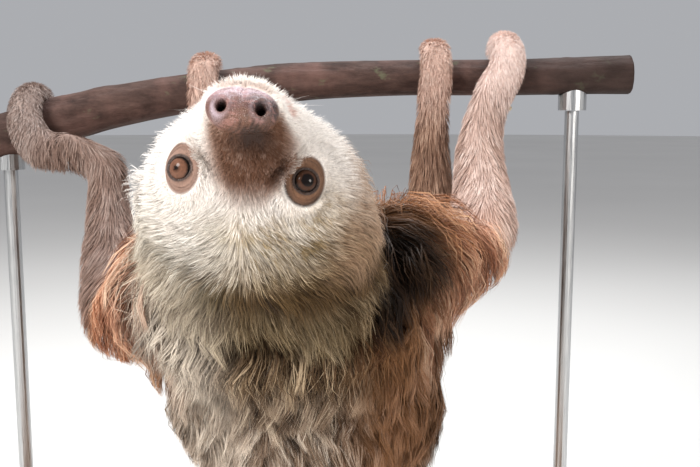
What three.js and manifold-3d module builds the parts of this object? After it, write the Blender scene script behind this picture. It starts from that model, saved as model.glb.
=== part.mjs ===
// Hoffmann's two-toed sloth, life size, hanging by its hands and feet from a cut branch on a display stand.
// Millimetres, +Z up. The origin is the centre of the base's underside, +X is the animal's right side,
// and its face looks towards -Y, upside down, with the head thrown back.
// Every fleshy solid is the outer form of the coat, out to the hair tips, parted by thin cuts.
import * as THREE from "three";
import { mergeVertices } from "three/addons/utils/BufferGeometryUtils.js";
import Module from "manifold-3d";

const wasm = await Module();
wasm.setup();

// ---- Driving dimensions ----
const GAP = 0.4; // left between neighbours

const BRANCH_RADIUS = 16;
const BRANCH_LENGTH = 580;

const EYE_RADIUS = 7.6;
const SOCKET_RADIUS = 11;
const SOCKET_SHIFT = 6.5; // socket's centre in front of the eyeball's, along its gaze
const EYE_SPACING = 58; // between the eyeballs' centres
const NOSE_REACH = 46; // nose tip in front of the eyes
const HEAD_BACK = 75; // back of the head behind the eyes
const NOSE_CUT = 33; // seam of the bare nose in front of the eyes
const MOUTH_DROP = 23; // mouth line below the eye line
const JAW_CUT = 4; // back of the chin piece in front of the eyes
const NOSTRIL_SPACING = 17;
const NOSTRIL_RADIUS = 3.2;
const NOSTRIL_DEPTH = 6;

const BASE_WIDTH = 620;
const BASE_DEPTH = 474;
const BASE_THICKNESS = 18;
const BASE_CORNER = 40;
const BASE_EDGE = 2.5;
const ROD_RADIUS = 6;
const ROD_INSET = 48; // rod axis from the branch's end
const COLLAR_RADIUS = 17;
const COLLAR_HEIGHT = 9;
const SADDLE_RADIUS = 12;
const SADDLE_HEIGHT = 26;

const ELBOW = 150; // seams, from the inner end of the limb
const KNEE = 160;
const WRIST_TO_TIP = 104;
const ANKLE_TO_TIP = 100;
const HAND_REACH = 30.5; // middle of the hooked hand from the branch's axis
const FOOT_REACH = 27;
const HOOK_END = 24; // where the fingers end, in degrees above the branch's axis behind it

const CLAW_ROOT_RADIUS = 3.8;
const CLAW_TIP_RADIUS = 0.8;
const FINGER_SPACING = 15;
const TOE_SPACING = 11;
const HAND_CLAW_SWEEP = 108; // degrees round the branch
const FOOT_CLAW_SWEEP = 90;

// ---- Landmarks ----
const v = (x, y, z) => new THREE.Vector3(x, y, z);
const EYES_MIDDLE = v(1, -197, 394);
const FORWARD = v(0.05, -0.838, 0.543).normalize(); // from the eyes to the nose
const ROLL = THREE.MathUtils.degToRad(5.4); // the head leans to its right
const CROWN = v(0, -0.544, -0.838); // from the eyes to the top of the head

// ---- Small helpers ----
// A smooth curve through the stations' values of one key, at a place along the body.
function valueAt(stations, key, place) {
  const last = stations.length - 1;
  const slope = (i) => {
    const a = stations[Math.max(i - 1, 0)];
    const b = stations[Math.min(i + 1, last)];
    return (b[key] - a[key]) / (b.at - a.at);
  };
  if (place <= stations[0].at) return stations[0][key];
  if (place >= stations[last].at) return stations[last][key];
  const i = stations.findIndex((s) => s.at > place) - 1;
  const [a, b] = [stations[i], stations[i + 1]];
  const span = b.at - a.at;
  const t = (place - a.at) / span;
  const [t2, t3] = [t * t, t * t * t];
  return (
    (2 * t3 - 3 * t2 + 1) * a[key] +
    (t3 - 2 * t2 + t) * span * slope(i) +
    (3 * t2 - 2 * t3) * b[key] +
    (t3 - t2) * span * slope(i + 1)
  );
}

// One side of a superellipse: squareness 2 is a true ellipse, and more is squarer.
const squared = (x, squareness) => Math.sign(x) * Math.abs(x) ** (2 / squareness);

// Places along a body and how full its section is there, with flat or rounded ends.
function ringPlaces(from, to, count, roundFrom, roundTo) {
  const steps = [Math.PI / 7, (2 * Math.PI) / 7];
  const rings = [{ place: from, full: 0 }];
  if (roundFrom) {
    steps.forEach((a) => rings.push({ place: from + roundFrom * (1 - Math.cos(a)), full: Math.sin(a) }));
  }
  const [first, last] = [from + roundFrom, to - roundTo];
  for (let i = 0; i <= count; i++) {
    rings.push({ place: first + ((last - first) * i) / count, full: 1 });
  }
  if (roundTo) {
    [...steps].reverse().forEach((a) => {
      rings.push({ place: to - roundTo * (1 - Math.cos(a)), full: Math.sin(a) });
    });
  }
  rings.push({ place: to, full: 0 });
  return rings;
}

// Directions along a curve that turn with it and don't twist, apart from the twist asked for at its end.
function framesAlong(curve, length, side, endSide) {
  const steps = 120;
  const frames = [];
  const tangent = curve.getTangentAt(0);
  const across = side.clone().addScaledVector(tangent, -side.dot(tangent)).normalize();
  for (let i = 0; i <= steps; i++) {
    const next = curve.getTangentAt(i / steps);
    across.applyQuaternion(new THREE.Quaternion().setFromUnitVectors(tangent, next));
    tangent.copy(next);
    frames.push({ tangent: next, across: across.clone() });
  }
  if (endSide) {
    const end = frames[steps];
    const wanted = endSide.clone().addScaledVector(end.tangent, -endSide.dot(end.tangent)).normalize();
    const turn = Math.atan2(new THREE.Vector3().crossVectors(end.across, wanted).dot(end.tangent), end.across.dot(wanted));
    frames.forEach((f, i) => f.across.applyAxisAngle(f.tangent, turn * THREE.MathUtils.smoothstep(i / steps, 0.3, 1)));
  }
  return (place) => {
    const share = THREE.MathUtils.clamp(place / length, 0, 1);
    const i = Math.min(Math.floor(share * steps), steps - 1);
    const along = frames[i].tangent.clone().lerp(frames[i + 1].tangent, share * steps - i).normalize();
    const out = frames[i].across.clone().lerp(frames[i + 1].across, share * steps - i);
    out.addScaledVector(along, -out.dot(along)).normalize();
    return { at: curve.getPointAt(share), along, out, back: new THREE.Vector3().crossVectors(along, out) };
  };
}

// A body part swept along a curve. Its stations give, in mm along the curve, the half width
// and how far it reaches to the back and to the belly, so that a section may be lopsided.
class Swept {
  constructor(points, side, stations, { endSide, squareness = 2 } = {}) {
    this.curve = new THREE.CatmullRomCurve3(points, false, "centripetal");
    this.curve.arcLengthDivisions = 800;
    this.length = this.curve.getLength();
    this.frame = framesAlong(this.curve, this.length, side, endSide);
    this.stations = stations;
    this.squareness = squareness;
  }

  geometry({ from = 0, to = this.length, count = 8, sides = 16, roundFrom = 0, roundTo = 0, grow = 0 }) {
    const rings = ringPlaces(from, to, count, roundFrom, roundTo);
    const sphere = new THREE.SphereGeometry(1, sides, rings.length - 1);
    const position = sphere.getAttribute("position");
    rings.forEach(({ place, full }, ring) => {
      const { at, out, back } = this.frame(place);
      const wide = valueAt(this.stations, "wide", place) + grow;
      const up = valueAt(this.stations, "back", place) + grow;
      const down = valueAt(this.stations, "belly", place) + grow;
      for (let k = 0; k <= sides; k++) {
        const turn = (2 * Math.PI * (k % sides)) / sides;
        const x = -squared(Math.cos(turn), this.squareness) * wide * full;
        const z = squared(Math.sin(turn), this.squareness) * full;
        const spot = at.clone().addScaledVector(out, x).addScaledVector(back, z * (z > 0 ? up : down));
        position.setXYZ(ring * (sides + 1) + k, spot.x, spot.y, spot.z);
      }
    });
    return sphere;
  }
}

function solid(geometry) {
  const bare = geometry.clone();
  Object.keys(bare.attributes).filter((n) => n !== "position").forEach((n) => bare.deleteAttribute(n));
  const merged = mergeVertices(bare, 1e-3);
  const corners = [];
  const index = merged.index.array;
  for (let i = 0; i < index.length; i += 3) {
    const [a, b, c] = [index[i], index[i + 1], index[i + 2]];
    if (a !== b && b !== c && c !== a) corners.push(a, b, c);
  }
  return new wasm.Manifold(
    new wasm.Mesh({ numProp: 3, vertProperties: merged.attributes.position.array, triVerts: new Uint32Array(corners) }),
  );
}

function geometryOf(manifold) {
  const mesh = manifold.getMesh();
  const geometry = new THREE.BufferGeometry();
  geometry.setAttribute("position", new THREE.BufferAttribute(new Float32Array(mesh.vertProperties), 3));
  geometry.setIndex(new THREE.BufferAttribute(new Uint32Array(mesh.triVerts), 1));
  geometry.computeVertexNormals();
  return geometry;
}

// The largest body left after cuts, so that no crumb stays in a node.
const largest = (manifold) => manifold.decompose().sort((a, b) => b.volume() - a.volume())[0];

const FINISH = {
  pale_coat: { color: "#e9ded0", roughness: 0.85, metalness: 0 },
  brown_coat: { color: "#a07f63", roughness: 0.9, metalness: 0 },
  bare_skin: { color: "#7d5f57", roughness: 0.5, metalness: 0 },
  eye: { color: "#3a2014", roughness: 0.08, metalness: 0 },
  claw: { color: "#b7a58c", roughness: 0.35, metalness: 0 },
  bark: { color: "#6f5a50", roughness: 0.85, metalness: 0 },
  board: { color: "#8d6a48", roughness: 0.5, metalness: 0 },
  steel: { color: "#8f9194", roughness: 0.35, metalness: 0.9 },
};

const sloth = new THREE.Group();
sloth.name = "two_toed_sloth";

function add(name, shape, finish) {
  const geometry = shape instanceof THREE.BufferGeometry ? shape : geometryOf(shape);
  const mesh = new THREE.Mesh(geometry, new THREE.MeshStandardMaterial(FINISH[finish]));
  mesh.name = name;
  sloth.add(mesh);
}

// ---- Head ----
// The head's own frame: X across to its left, Y towards its back, Z to the crown, from between the eyes.
function headFrame() {
  const up = CROWN.clone().addScaledVector(FORWARD, -CROWN.dot(FORWARD)).normalize();
  up.applyAxisAngle(FORWARD, -ROLL);
  const across = new THREE.Vector3().crossVectors(up, FORWARD).normalize();
  return new THREE.Matrix4().makeBasis(across, FORWARD.clone().negate(), up).setPosition(EYES_MIDDLE);
}
const HEAD = headFrame();
const inHead = (x, y, z) => v(x, y, z).applyMatrix4(HEAD);
const HEAD_SIDE = v(-1, 0, 0).transformDirection(HEAD);

// Head and trunk are one sweep. Half widths and reaches to the back and the belly, by distance behind the nose.
const BODY_STATIONS = [
  { at: 0, wide: 14.5, back: 10, belly: 9 },
  { at: 4, wide: 16.5, back: 12, belly: 12.5 },
  { at: 12, wide: 18, back: 13.5, belly: 18 },
  { at: 22, wide: 21, back: 15.5, belly: 22 },
  { at: 32, wide: 27, back: 19.5, belly: 27 },
  { at: 41, wide: 36, back: 25.5, belly: 31 },
  { at: 48, wide: 42.5, back: 31, belly: 34 },
  { at: 58, wide: 50.5, back: 37, belly: 38 },
  { at: 68, wide: 55, back: 41, belly: 42 },
  { at: 82, wide: 59.5, back: 44, belly: 46 },
  { at: 97, wide: 62.5, back: 46, belly: 49 },
  { at: 122, wide: 66, back: 49, belly: 52 },
  { at: 148, wide: 71, back: 58, belly: 52 },
  { at: 182, wide: 82, back: 69, belly: 54 },
  { at: 227, wide: 96, back: 77, belly: 66 },
  { at: 302, wide: 102, back: 84, belly: 78 },
  { at: 367, wide: 97, back: 85, belly: 78 },
  { at: 422, wide: 86, back: 80, belly: 68 },
  { at: 467, wide: 72, back: 70, belly: 54 },
];
const HEAD_END = 122;
const NECK_END = 184;
const CHEST_END = 272;
const LOIN_END = 357;
const RUMP_ROUNDING = 48;
const body = new Swept(
  [
    inHead(0, -NOSE_REACH, -13),
    inHead(0, -30, -13.5),
    inHead(-0.5, -15, -13),
    inHead(-1, 0, -11.5),
    inHead(-2.5, 25, -8),
    inHead(-5, 50, -4),
    inHead(-7, HEAD_BACK, 0),
    v(7, -93, 326),
    v(14, -46, 289),
    v(20, 6, 235),
    v(23, 58, 191),
    v(25, 106, 164),
    v(25, 154, 154),
  ],
  HEAD_SIDE,
  BODY_STATIONS,
  { squareness: 2.15, endSide: v(1, 0, 0) },
);

// A box in the head's frame, given by its centre and size.
function headBox(centre, size) {
  const box = new THREE.BoxGeometry(...size);
  box.translate(...centre);
  box.applyMatrix4(HEAD);
  return solid(box);
}

const eyeCentre = (side) => inHead((side * EYE_SPACING) / 2, 0, 0);

function ball(centre, radius, across, down) {
  const sphere = new THREE.SphereGeometry(radius, across, down);
  sphere.translate(centre.x, centre.y, centre.z);
  return sphere;
}

// A small rounded ear that lies back against the coat.
function earGeometry(side, grow = 0) {
  const ear = new THREE.SphereGeometry(1, 10, 6);
  ear.scale(3 + grow, 11 + grow, 8 + grow);
  ear.rotateZ(side * 0.3);
  ear.translate(side * 57 - 3.5, 33, -3);
  ear.applyMatrix4(HEAD);
  return ear;
}

function socket(side) {
  const gaze = v(side * 0.45, -0.8, 0.4).normalize().transformDirection(HEAD);
  return solid(ball(eyeCentre(side).addScaledVector(gaze, SOCKET_SHIFT), SOCKET_RADIUS, 16, 10));
}

function nostril(side) {
  const hole = new THREE.CylinderGeometry(NOSTRIL_RADIUS * 0.6, NOSTRIL_RADIUS, NOSTRIL_DEPTH * 2, 10);
  hole.translate((side * NOSTRIL_SPACING) / 2, -NOSE_REACH, -11);
  hole.applyMatrix4(HEAD);
  return solid(hole);
}

function addHead() {
  let whole = solid(body.geometry({ to: HEAD_END, count: 13, sides: 26, roundFrom: 5 }));
  for (const side of [-1, 1]) {
    whole = whole.subtract(solid(ball(eyeCentre(side), EYE_RADIUS + GAP, 16, 10)));
    whole = whole.subtract(solid(earGeometry(side, GAP)));
    whole = whole.subtract(socket(side)).subtract(nostril(side));
    const name = side < 0 ? "right" : "left";
    add(`eye_${name}`, ball(eyeCentre(side), EYE_RADIUS, 16, 9), "eye");
    add(`ear_${name}`, earGeometry(side), "brown_coat");
  }
  const reach = 60;
  const mouth = headBox([0, -JAW_CUT - reach / 2, -MOUTH_DROP], [2 * reach, reach, GAP]);
  const throat = headBox([0, -JAW_CUT, -MOUTH_DROP - reach / 2], [2 * reach, GAP, reach + GAP]);
  const bridge = headBox([0, -NOSE_CUT, -MOUTH_DROP + reach / 2], [2 * reach, GAP, reach + GAP]);
  const pieces = whole.subtract(mouth).subtract(throat).subtract(bridge).decompose();
  pieces.sort((a, b) => b.volume() - a.volume());
  const [skull, second, third] = pieces;
  const lowness = (piece) => {
    const box = piece.boundingBox();
    return box.max[2];
  };
  const [jaw, nose] = lowness(second) > lowness(third) ? [second, third] : [third, second];
  add("head", skull, "pale_coat");
  add("jaw", jaw, "pale_coat");
  add("nose", nose, "bare_skin");
}

// ---- Neck and trunk ----
function addTrunk() {
  const lengths = [
    ["neck", HEAD_END, NECK_END, 4, 0],
    ["chest", NECK_END, CHEST_END, 4, 0],
    ["loin", CHEST_END, LOIN_END, 4, 0],
    ["rump", LOIN_END, body.length, 3, RUMP_ROUNDING],
  ];
  for (const [name, from, to, count, roundTo] of lengths) {
    add(name, body.geometry({ from: from + GAP, to, count, sides: 26, roundTo }), "brown_coat");
  }
}
const bodyCutter = solid(body.geometry({ count: 26, sides: 26, roundFrom: 5, roundTo: RUMP_ROUNDING, grow: 2 * GAP }));

// ---- Branch ----
const BRANCH_POINTS = [
  [-BRANCH_LENGTH / 2, 165, 388],
  [-234, 165, 404],
  [-174, 166, 421],
  [-80, 168, 438],
  [7, 170, 447],
  [90, 171, 450],
  [200, 171, 451],
  [BRANCH_LENGTH / 2, 172, 453],
].map((p) => v(...p));
const BRANCH_STATIONS = [0, 90, 190, 290, 400, 500, 586].map((at, i) => {
  const radius = BRANCH_RADIUS + [4, 3, 1, 0.5, -0.5, 0, 1][i];
  return { at, wide: radius, back: radius, belly: radius };
});
const branch = new Swept(BRANCH_POINTS, v(0, 1, 0), BRANCH_STATIONS);
const branchCutter = solid(branch.geometry({ count: 16, sides: 14, grow: GAP }));

// ---- Limbs ----
// Each limb runs from inside the trunk to the ends of its furred fingers, which hook over the branch
// from the front. Its sections reach furthest to `back` on the outer side of the elbow and the knee,
// where the long hair hangs.
const ARM_STATIONS = (length) => [
  { at: 0, wide: 46, back: 50, belly: 44 },
  { at: 40, wide: 44, back: 66, belly: 42 },
  { at: 100, wide: 34, back: 80, belly: 32 },
  { at: 150, wide: 28, back: 56, belly: 27 },
  { at: 200, wide: 25, back: 28, belly: 23 },
  { at: 245, wide: 22, back: 19, belly: 19 },
  { at: length - 115, wide: 19.5, back: 15, belly: 15 },
  { at: length - 60, wide: 16.5, back: 12, belly: 12 },
  { at: length, wide: 14, back: 10, belly: 10 },
];
const LEG_STATIONS = (length) => [
  { at: 0, wide: 52, back: 56, belly: 50 },
  { at: 60, wide: 50, back: 56, belly: 44 },
  { at: 120, wide: 41, back: 45, belly: 34 },
  { at: 165, wide: 31, back: 33, belly: 27 },
  { at: 215, wide: 23, back: 23, belly: 21 },
  { at: 258, wide: 19, back: 17, belly: 17 },
  { at: length - 100, wide: 16.5, back: 12, belly: 12.5 },
  { at: length - 50, wide: 17, back: 9.5, belly: 9.5 },
  { at: length, wide: 15, back: 8, belly: 8 },
];

// A path with its corners cut again and again, so that it bends softly.
function rounded(points, times) {
  let path = points;
  for (let n = 0; n < times; n++) {
    const cut = [path[0]];
    for (let i = 0; i + 1 < path.length; i++) {
      cut.push(path[i].clone().lerp(path[i + 1], 0.25), path[i].clone().lerp(path[i + 1], 0.75));
    }
    cut.push(path.at(-1));
    path = cut;
  }
  return path;
}

// A spot beside the branch: 180 degrees is in front of it, 90 on top and 0 behind it.
function aroundBranch(x, radius, degrees) {
  const { at } = branch.frame(((x + BRANCH_LENGTH / 2) * branch.length) / BRANCH_LENGTH);
  const angle = THREE.MathUtils.degToRad(degrees);
  return at.clone().add(v(0, radius * Math.cos(angle), radius * Math.sin(angle)));
}

const HOOK_ANGLES = [170, 140, 110, 80, 50, HOOK_END];

function limb(points, x, reach, stations, endSide) {
  const hook = HOOK_ANGLES.map((degrees) => aroundBranch(x, reach, degrees));
  const path = rounded([...points.map((p) => v(...p)), ...hook], 3);
  const length = new THREE.CatmullRomCurve3(path, false, "centripetal").getLength();
  const made = new Swept(path, v(1, 0, 0), stations(length), { endSide });
  return Object.assign(made, { x, reach });
}

const RIGHT_ARM = [[40, -52, 318], [84, -50, 326], [156, 48, 322], [152, 118, 392], [167, 134, 438]];
const RIGHT_LEG = [[38, 88, 168], [122, 160, 250], [116, 138, 400]];
const LEFT_ARM = [
  [-22, -58, 315],
  [-60, -62, 320],
  [-124, 30, 258],
  [-146, 112, 346],
  [-149, 129, 391],
  [-172, 125, 393],
  [-202, 126, 385],
];
const LEFT_LEG = [[0, 88, 168], [-130, 152, 244], [-66, 136, 390]];

const LIMBS = {
  right: {
    arm: limb(RIGHT_ARM, 183, HAND_REACH, ARM_STATIONS, v(1, 0, 0)),
    leg: limb(RIGHT_LEG, 124, FOOT_REACH, LEG_STATIONS, v(1, 0, 0)),
  },
  left: {
    arm: limb(LEFT_ARM, -219, HAND_REACH, ARM_STATIONS, v(1, 0, 0.2)),
    leg: limb(LEFT_LEG, -69, FOOT_REACH, LEG_STATIONS, v(1, 0, 0.1)),
  },
};

// A claw leaves the finger's end and curls down behind the branch.
function clawGeometry(path, offset, sweep) {
  const end = path.frame(path.length);
  const start = end.at.clone().addScaledVector(end.out, offset).addScaledVector(end.along, 2 * GAP);
  const fingerEnd = aroundBranch(path.x, path.reach, HOOK_END);
  const points = [0.2, 0.4, 0.6, 0.8, 1].map((share) => {
    const spot = aroundBranch(path.x, path.reach - 4 * share, HOOK_END - sweep * share);
    return spot.sub(fingerEnd).add(start);
  });
  points.unshift(start, start.clone().addScaledVector(end.along, 4));
  const length = new THREE.CatmullRomCurve3(points, false, "centripetal").getLength();
  const [root, tip] = [CLAW_ROOT_RADIUS, CLAW_TIP_RADIUS];
  const stations = [
    { at: 0, wide: root * 0.8, back: root, belly: root },
    { at: length * 0.5, wide: root * 0.62, back: root * 0.7, belly: root * 0.7 },
    { at: length, wide: tip, back: tip, belly: tip },
  ];
  return new Swept(points, end.out, stations).geometry({ count: 5, sides: 6 });
}

function addLimb(side, kind, parts, joint, handLength, clawOffsets, clawSweep) {
  const path = LIMBS[side][kind];
  const wrist = path.length - handLength;
  const trimmed = (options) => {
    const shape = solid(path.geometry({ sides: 12, ...options }));
    return largest(shape.subtract(bodyCutter).subtract(branchCutter));
  };
  add(`${parts[0]}_${side}`, trimmed({ to: joint, count: 7 }), "brown_coat");
  add(`${parts[1]}_${side}`, trimmed({ from: joint + GAP, to: wrist, count: 7 }), "brown_coat");
  add(`${parts[2]}_${side}`, trimmed({ from: wrist + GAP, count: 10 }), "pale_coat");
  clawOffsets.forEach((offset, i) => {
    add(`${parts[2]}_${side}_claw_${i + 1}`, clawGeometry(path, offset, clawSweep), "claw");
  });
}

// ---- Stand ----
const BASE_TOP = BASE_THICKNESS;

function baseGeometry() {
  const [w, d, r] = [BASE_WIDTH / 2 - BASE_EDGE, BASE_DEPTH / 2 - BASE_EDGE, BASE_CORNER];
  const outline = new THREE.Shape();
  outline.moveTo(-w + r, -d);
  outline.lineTo(w - r, -d);
  outline.absarc(w - r, -d + r, r, -Math.PI / 2, 0);
  outline.absarc(w - r, d - r, r, 0, Math.PI / 2);
  outline.absarc(-w + r, d - r, r, Math.PI / 2, Math.PI);
  outline.absarc(-w + r, -d + r, r, Math.PI, Math.PI * 1.5);
  const board = new THREE.ExtrudeGeometry(outline, {
    depth: BASE_THICKNESS - 2 * BASE_EDGE,
    bevelThickness: BASE_EDGE,
    bevelSize: BASE_EDGE,
    bevelSegments: 1,
    curveSegments: 6,
  });
  board.translate(0, 0, BASE_EDGE);
  return board;
}

function post(radius, low, high, x, y, sides) {
  const cylinder = new THREE.CylinderGeometry(radius, radius, high - low, sides);
  cylinder.rotateX(Math.PI / 2);
  cylinder.translate(x, y, (low + high) / 2);
  return cylinder;
}

function addStand() {
  add("stand_base", baseGeometry(), "board");
  for (const side of ["left", "right"]) {
    const place = side === "left" ? ROD_INSET : branch.length - ROD_INSET;
    const { x, y, z } = branch.frame(place).at;
    const underside = z - BRANCH_RADIUS;
    const saddle = solid(post(SADDLE_RADIUS, underside - SADDLE_HEIGHT / 2, underside + SADDLE_HEIGHT / 2, x, y, 20));
    add(`stand_saddle_${side}`, largest(saddle.subtract(branchCutter)), "steel");
    add(`stand_rod_${side}`, post(ROD_RADIUS, BASE_TOP + COLLAR_HEIGHT + 2 * GAP, underside - SADDLE_HEIGHT / 2 - GAP, x, y, 20), "steel");
    add(`stand_collar_${side}`, post(COLLAR_RADIUS, BASE_TOP + GAP, BASE_TOP + GAP + COLLAR_HEIGHT, x, y, 24), "steel");
  }
}

addHead();
addTrunk();
for (const side of ["left", "right"]) {
  const fingers = [-FINGER_SPACING / 2, FINGER_SPACING / 2];
  const toes = [-TOE_SPACING, 0, TOE_SPACING];
  addLimb(side, "arm", ["upper_arm", "forearm", "hand"], ELBOW, WRIST_TO_TIP, fingers, HAND_CLAW_SWEEP);
  addLimb(side, "leg", ["thigh", "shank", "foot"], KNEE, ANKLE_TO_TIP, toes, FOOT_CLAW_SWEEP);
}
add("branch", branch.geometry({ count: 16, sides: 14 }), "bark");
addStand();

export default sloth;
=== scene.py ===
"""Hoffmann's two-toed sloth, life size, hanging from a cut branch, with its coat, eyes, claws and stage."""
import functools
import math

import bmesh
import bpy
import numpy as np
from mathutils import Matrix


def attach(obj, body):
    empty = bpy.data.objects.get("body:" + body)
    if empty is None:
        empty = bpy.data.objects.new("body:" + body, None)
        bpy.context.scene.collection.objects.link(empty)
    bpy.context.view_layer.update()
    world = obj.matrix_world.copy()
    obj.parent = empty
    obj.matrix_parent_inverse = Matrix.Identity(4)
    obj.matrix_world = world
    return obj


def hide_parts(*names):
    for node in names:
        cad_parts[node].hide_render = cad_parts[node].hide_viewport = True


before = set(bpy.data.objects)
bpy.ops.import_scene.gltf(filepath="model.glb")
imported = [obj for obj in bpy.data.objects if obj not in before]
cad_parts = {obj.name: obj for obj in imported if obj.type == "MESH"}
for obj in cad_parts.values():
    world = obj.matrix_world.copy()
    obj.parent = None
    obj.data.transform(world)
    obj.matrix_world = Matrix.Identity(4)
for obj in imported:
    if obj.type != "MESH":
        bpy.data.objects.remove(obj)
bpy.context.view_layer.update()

import openvdb
from bpy.props import FloatProperty, FloatVectorProperty, PointerProperty
from mathutils import Matrix, Vector
from mathutils.kdtree import KDTree

bl_info = {
    "name": "Hanging sloth",
    "version": (1, 0, 0),
    "blender": (4, 5, 0),
    "location": "3D View > Sidebar > Sloth",
    "description": "Skin, coat, eyes, claws, branch and stage of a life-size hanging sloth",
    "category": "Object",
}

MM = 0.001
SIDES = {"left": 1, "right": -1}  # the animal's own sides, and the way each lies along the head's x

# ---- Landmarks of the body, in metres ----
EYES_MIDDLE = np.array((0.001, -0.197, 0.394))
HEAD_FORWARD = np.array((0.05, -0.838, 0.543))  # from the eyes to the nose
HEAD_CROWN = np.array((0.0, -0.544, -0.838))  # from the eyes to the top of the head
HEAD_ROLL = math.radians(5.4)
EYE_PLACE = np.array((0.0272, 0, 0))  # the left eyeball's centre, in the head's frame
EYE_RADIUS = 0.0076
EYE_AXIS = np.array((0.30, -0.8, 0.36))  # across, backwards and to the crown, for the left eye's lids
IRIS_AXIS = {"left": (0.35, -0.8, 0.42), "right": (0.31, -0.8, 0.29)}  # the same directions for each iris
LID_OPENING = 46  # degrees between the lids' axis and their edge
LID_THICKNESS = 0.0011
LID_REACH = 0.021  # from the eyeball's centre to where the drawing of the lids ends
PUPIL_EDGE = {"left": 0.984, "right": 0.925}  # how far ahead each pupil starts, where the cornea's top is 1
LID_BALL = 0.0092  # radius of the ball of skin round each eyeball
NOSTRIL = np.array((0.0083, -0.045, -0.0088))  # the left one, in the head's frame
NOSTRIL_SIZE = (0.0022, 0.0026)
NOSTRIL_LEAN = (0.96, 0.28)  # cosine and sine of the angle at which each leans out
NOSTRIL_DEPTH = 0.0075
NOSTRIL_RISE = 0.0010  # height of the rim
GROOVE_DEPTH = 0.0009  # between the nostrils
PAD_RISE = 0.0003  # of the bare nose over the muzzle
MOUTH_DROP = -0.023
MOUTH_DEPTH = 0.0016
TRUNK_LINE = np.array(
    [
        (0.0, -0.236, 0.428),
        (0.002, -0.150, 0.375),
        (0.007, -0.093, 0.326),
        (0.014, -0.046, 0.289),
        (0.020, 0.006, 0.235),
        (0.023, 0.058, 0.191),
        (0.025, 0.106, 0.164),
        (0.025, 0.170, 0.154),
    ]
)
LIMB_LINES = {
    "arm_right": np.array(
        [(0.040, -0.052, 0.318), (0.094, -0.038, 0.325), (0.146, 0.042, 0.328), (0.156, 0.116, 0.392),
         (0.170, 0.140, 0.450), (0.183, 0.170, 0.486), (0.183, 0.200, 0.462)]
    ),
    "arm_left": np.array(
        [(-0.022, -0.058, 0.315), (-0.066, -0.050, 0.312), (-0.120, 0.030, 0.272), (-0.146, 0.112, 0.346),
         (-0.155, 0.127, 0.388), (-0.202, 0.130, 0.395), (-0.219, 0.165, 0.440), (-0.219, 0.196, 0.420)]
    ),
    "leg_right": np.array(
        [(0.038, 0.088, 0.168), (0.104, 0.144, 0.240), (0.117, 0.140, 0.380), (0.124, 0.170, 0.480),
         (0.124, 0.198, 0.460)]
    ),
    "leg_left": np.array(
        [(0.0, 0.088, 0.168), (-0.110, 0.140, 0.240), (-0.072, 0.137, 0.370), (-0.069, 0.168, 0.466),
         (-0.069, 0.196, 0.447)]
    ),
}

# ---- Landmarks of the branch, in metres ----
BRANCH_END = 0.290
BRANCH_X = np.array((-BRANCH_END, -0.234, -0.174, -0.080, 0.007, 0.090, 0.200, BRANCH_END))
BRANCH_Y = np.array((0.165, 0.165, 0.166, 0.168, 0.170, 0.171, 0.171, 0.172))
BRANCH_Z = np.array((0.388, 0.404, 0.421, 0.438, 0.447, 0.450, 0.451, 0.453))
BRANCH_RADIUS_X = np.array((-BRANCH_END, -0.200, -0.100, 0.0, 0.110, 0.210, BRANCH_END))
BRANCH_RADIUS = np.array((0.020, 0.019, 0.017, 0.0165, 0.0155, 0.016, 0.017))


def colour(red, green, blue):
    """A display colour, from 0 to 255 each, as linear light."""
    share = np.array((red, green, blue), float) / 255
    return np.where(share <= 0.04045, share / 12.92, ((share + 0.055) / 1.055) ** 2.4)


# ---- The coat of each part of the body ----
# depth: of the coat over the skin; under: more depth where the surface faces down; length: of the hair;
# width: of a tuft; each in mm. lift: how far it stands off; droop: how fast it turns down; locks: how far the
# tufts gather in locks; then its dark, middle and pale colours.
class Coat:
    def __init__(self, depth, under, length, width, lift, droop, locks, dark, middle, pale):
        self.depth = depth * MM
        self.under = under * MM
        self.length = length * MM
        self.width = width * MM
        self.lift = lift
        self.droop = droop
        self.locks = locks
        self.colours = np.stack([colour(*dark), colour(*middle), colour(*pale)])


NAPE = ((20, 13, 8), (76, 55, 33), (186, 158, 118))
BACK = ((40, 29, 22), (150, 124, 102), (240, 226, 210))
RUMP = ((58, 44, 33), (134, 110, 88), (196, 180, 156))
SHOULDER = ((104, 62, 40), (218, 154, 120), (252, 210, 176))
FOREARM = ((150, 120, 106), (210, 180, 167), (238, 220, 210))
THIGH = ((92, 62, 44), (170, 126, 96), (216, 176, 142))
SHANK = ((114, 84, 68), (170, 134, 112), (206, 174, 152))
HAND = ((210, 184, 174), (238, 218, 210), (250, 238, 232))
FOOT = ((180, 148, 134), (206, 176, 162), (226, 204, 190))
HEAD_HAIR = ((112, 92, 74), (206, 192, 166), (240, 232, 214))

COATS = {
    "head": Coat(4, 0, 8, 0.6, 0.35, 0.1, 1.0, *HEAD_HAIR),
    "neck": Coat(20, 14, 50, 0.62, 0.35, 0.22, 1.0, *NAPE),
    "chest": Coat(20, 22, 62, 0.72, 0.3, 0.28, 1.0, *BACK),
    "loin": Coat(20, 24, 64, 0.85, 0.3, 0.28, 1.0, *BACK),
    "rump": Coat(18, 18, 54, 0.85, 0.3, 0.28, 1.0, *RUMP),
    "upper_arm": Coat(11, 16, 48, 0.6, 0.22, 0.3, 0.9, *SHOULDER),
    "forearm": Coat(3, 3, 18, 0.5, 0.08, 0.15, 0.35, *FOREARM),
    "hand": Coat(1.2, 0, 7, 0.42, 0.06, 0.1, 0.15, *HAND),
    "thigh": Coat(13, 12, 46, 0.7, 0.22, 0.3, 0.9, *THIGH),
    "shank": Coat(3, 2, 17, 0.5, 0.08, 0.15, 0.35, *SHANK),
    "foot": Coat(1.2, 0, 7, 0.42, 0.06, 0.1, 0.15, *FOOT),
}
SINGLE = ("neck", "chest", "loin", "rump")
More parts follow.
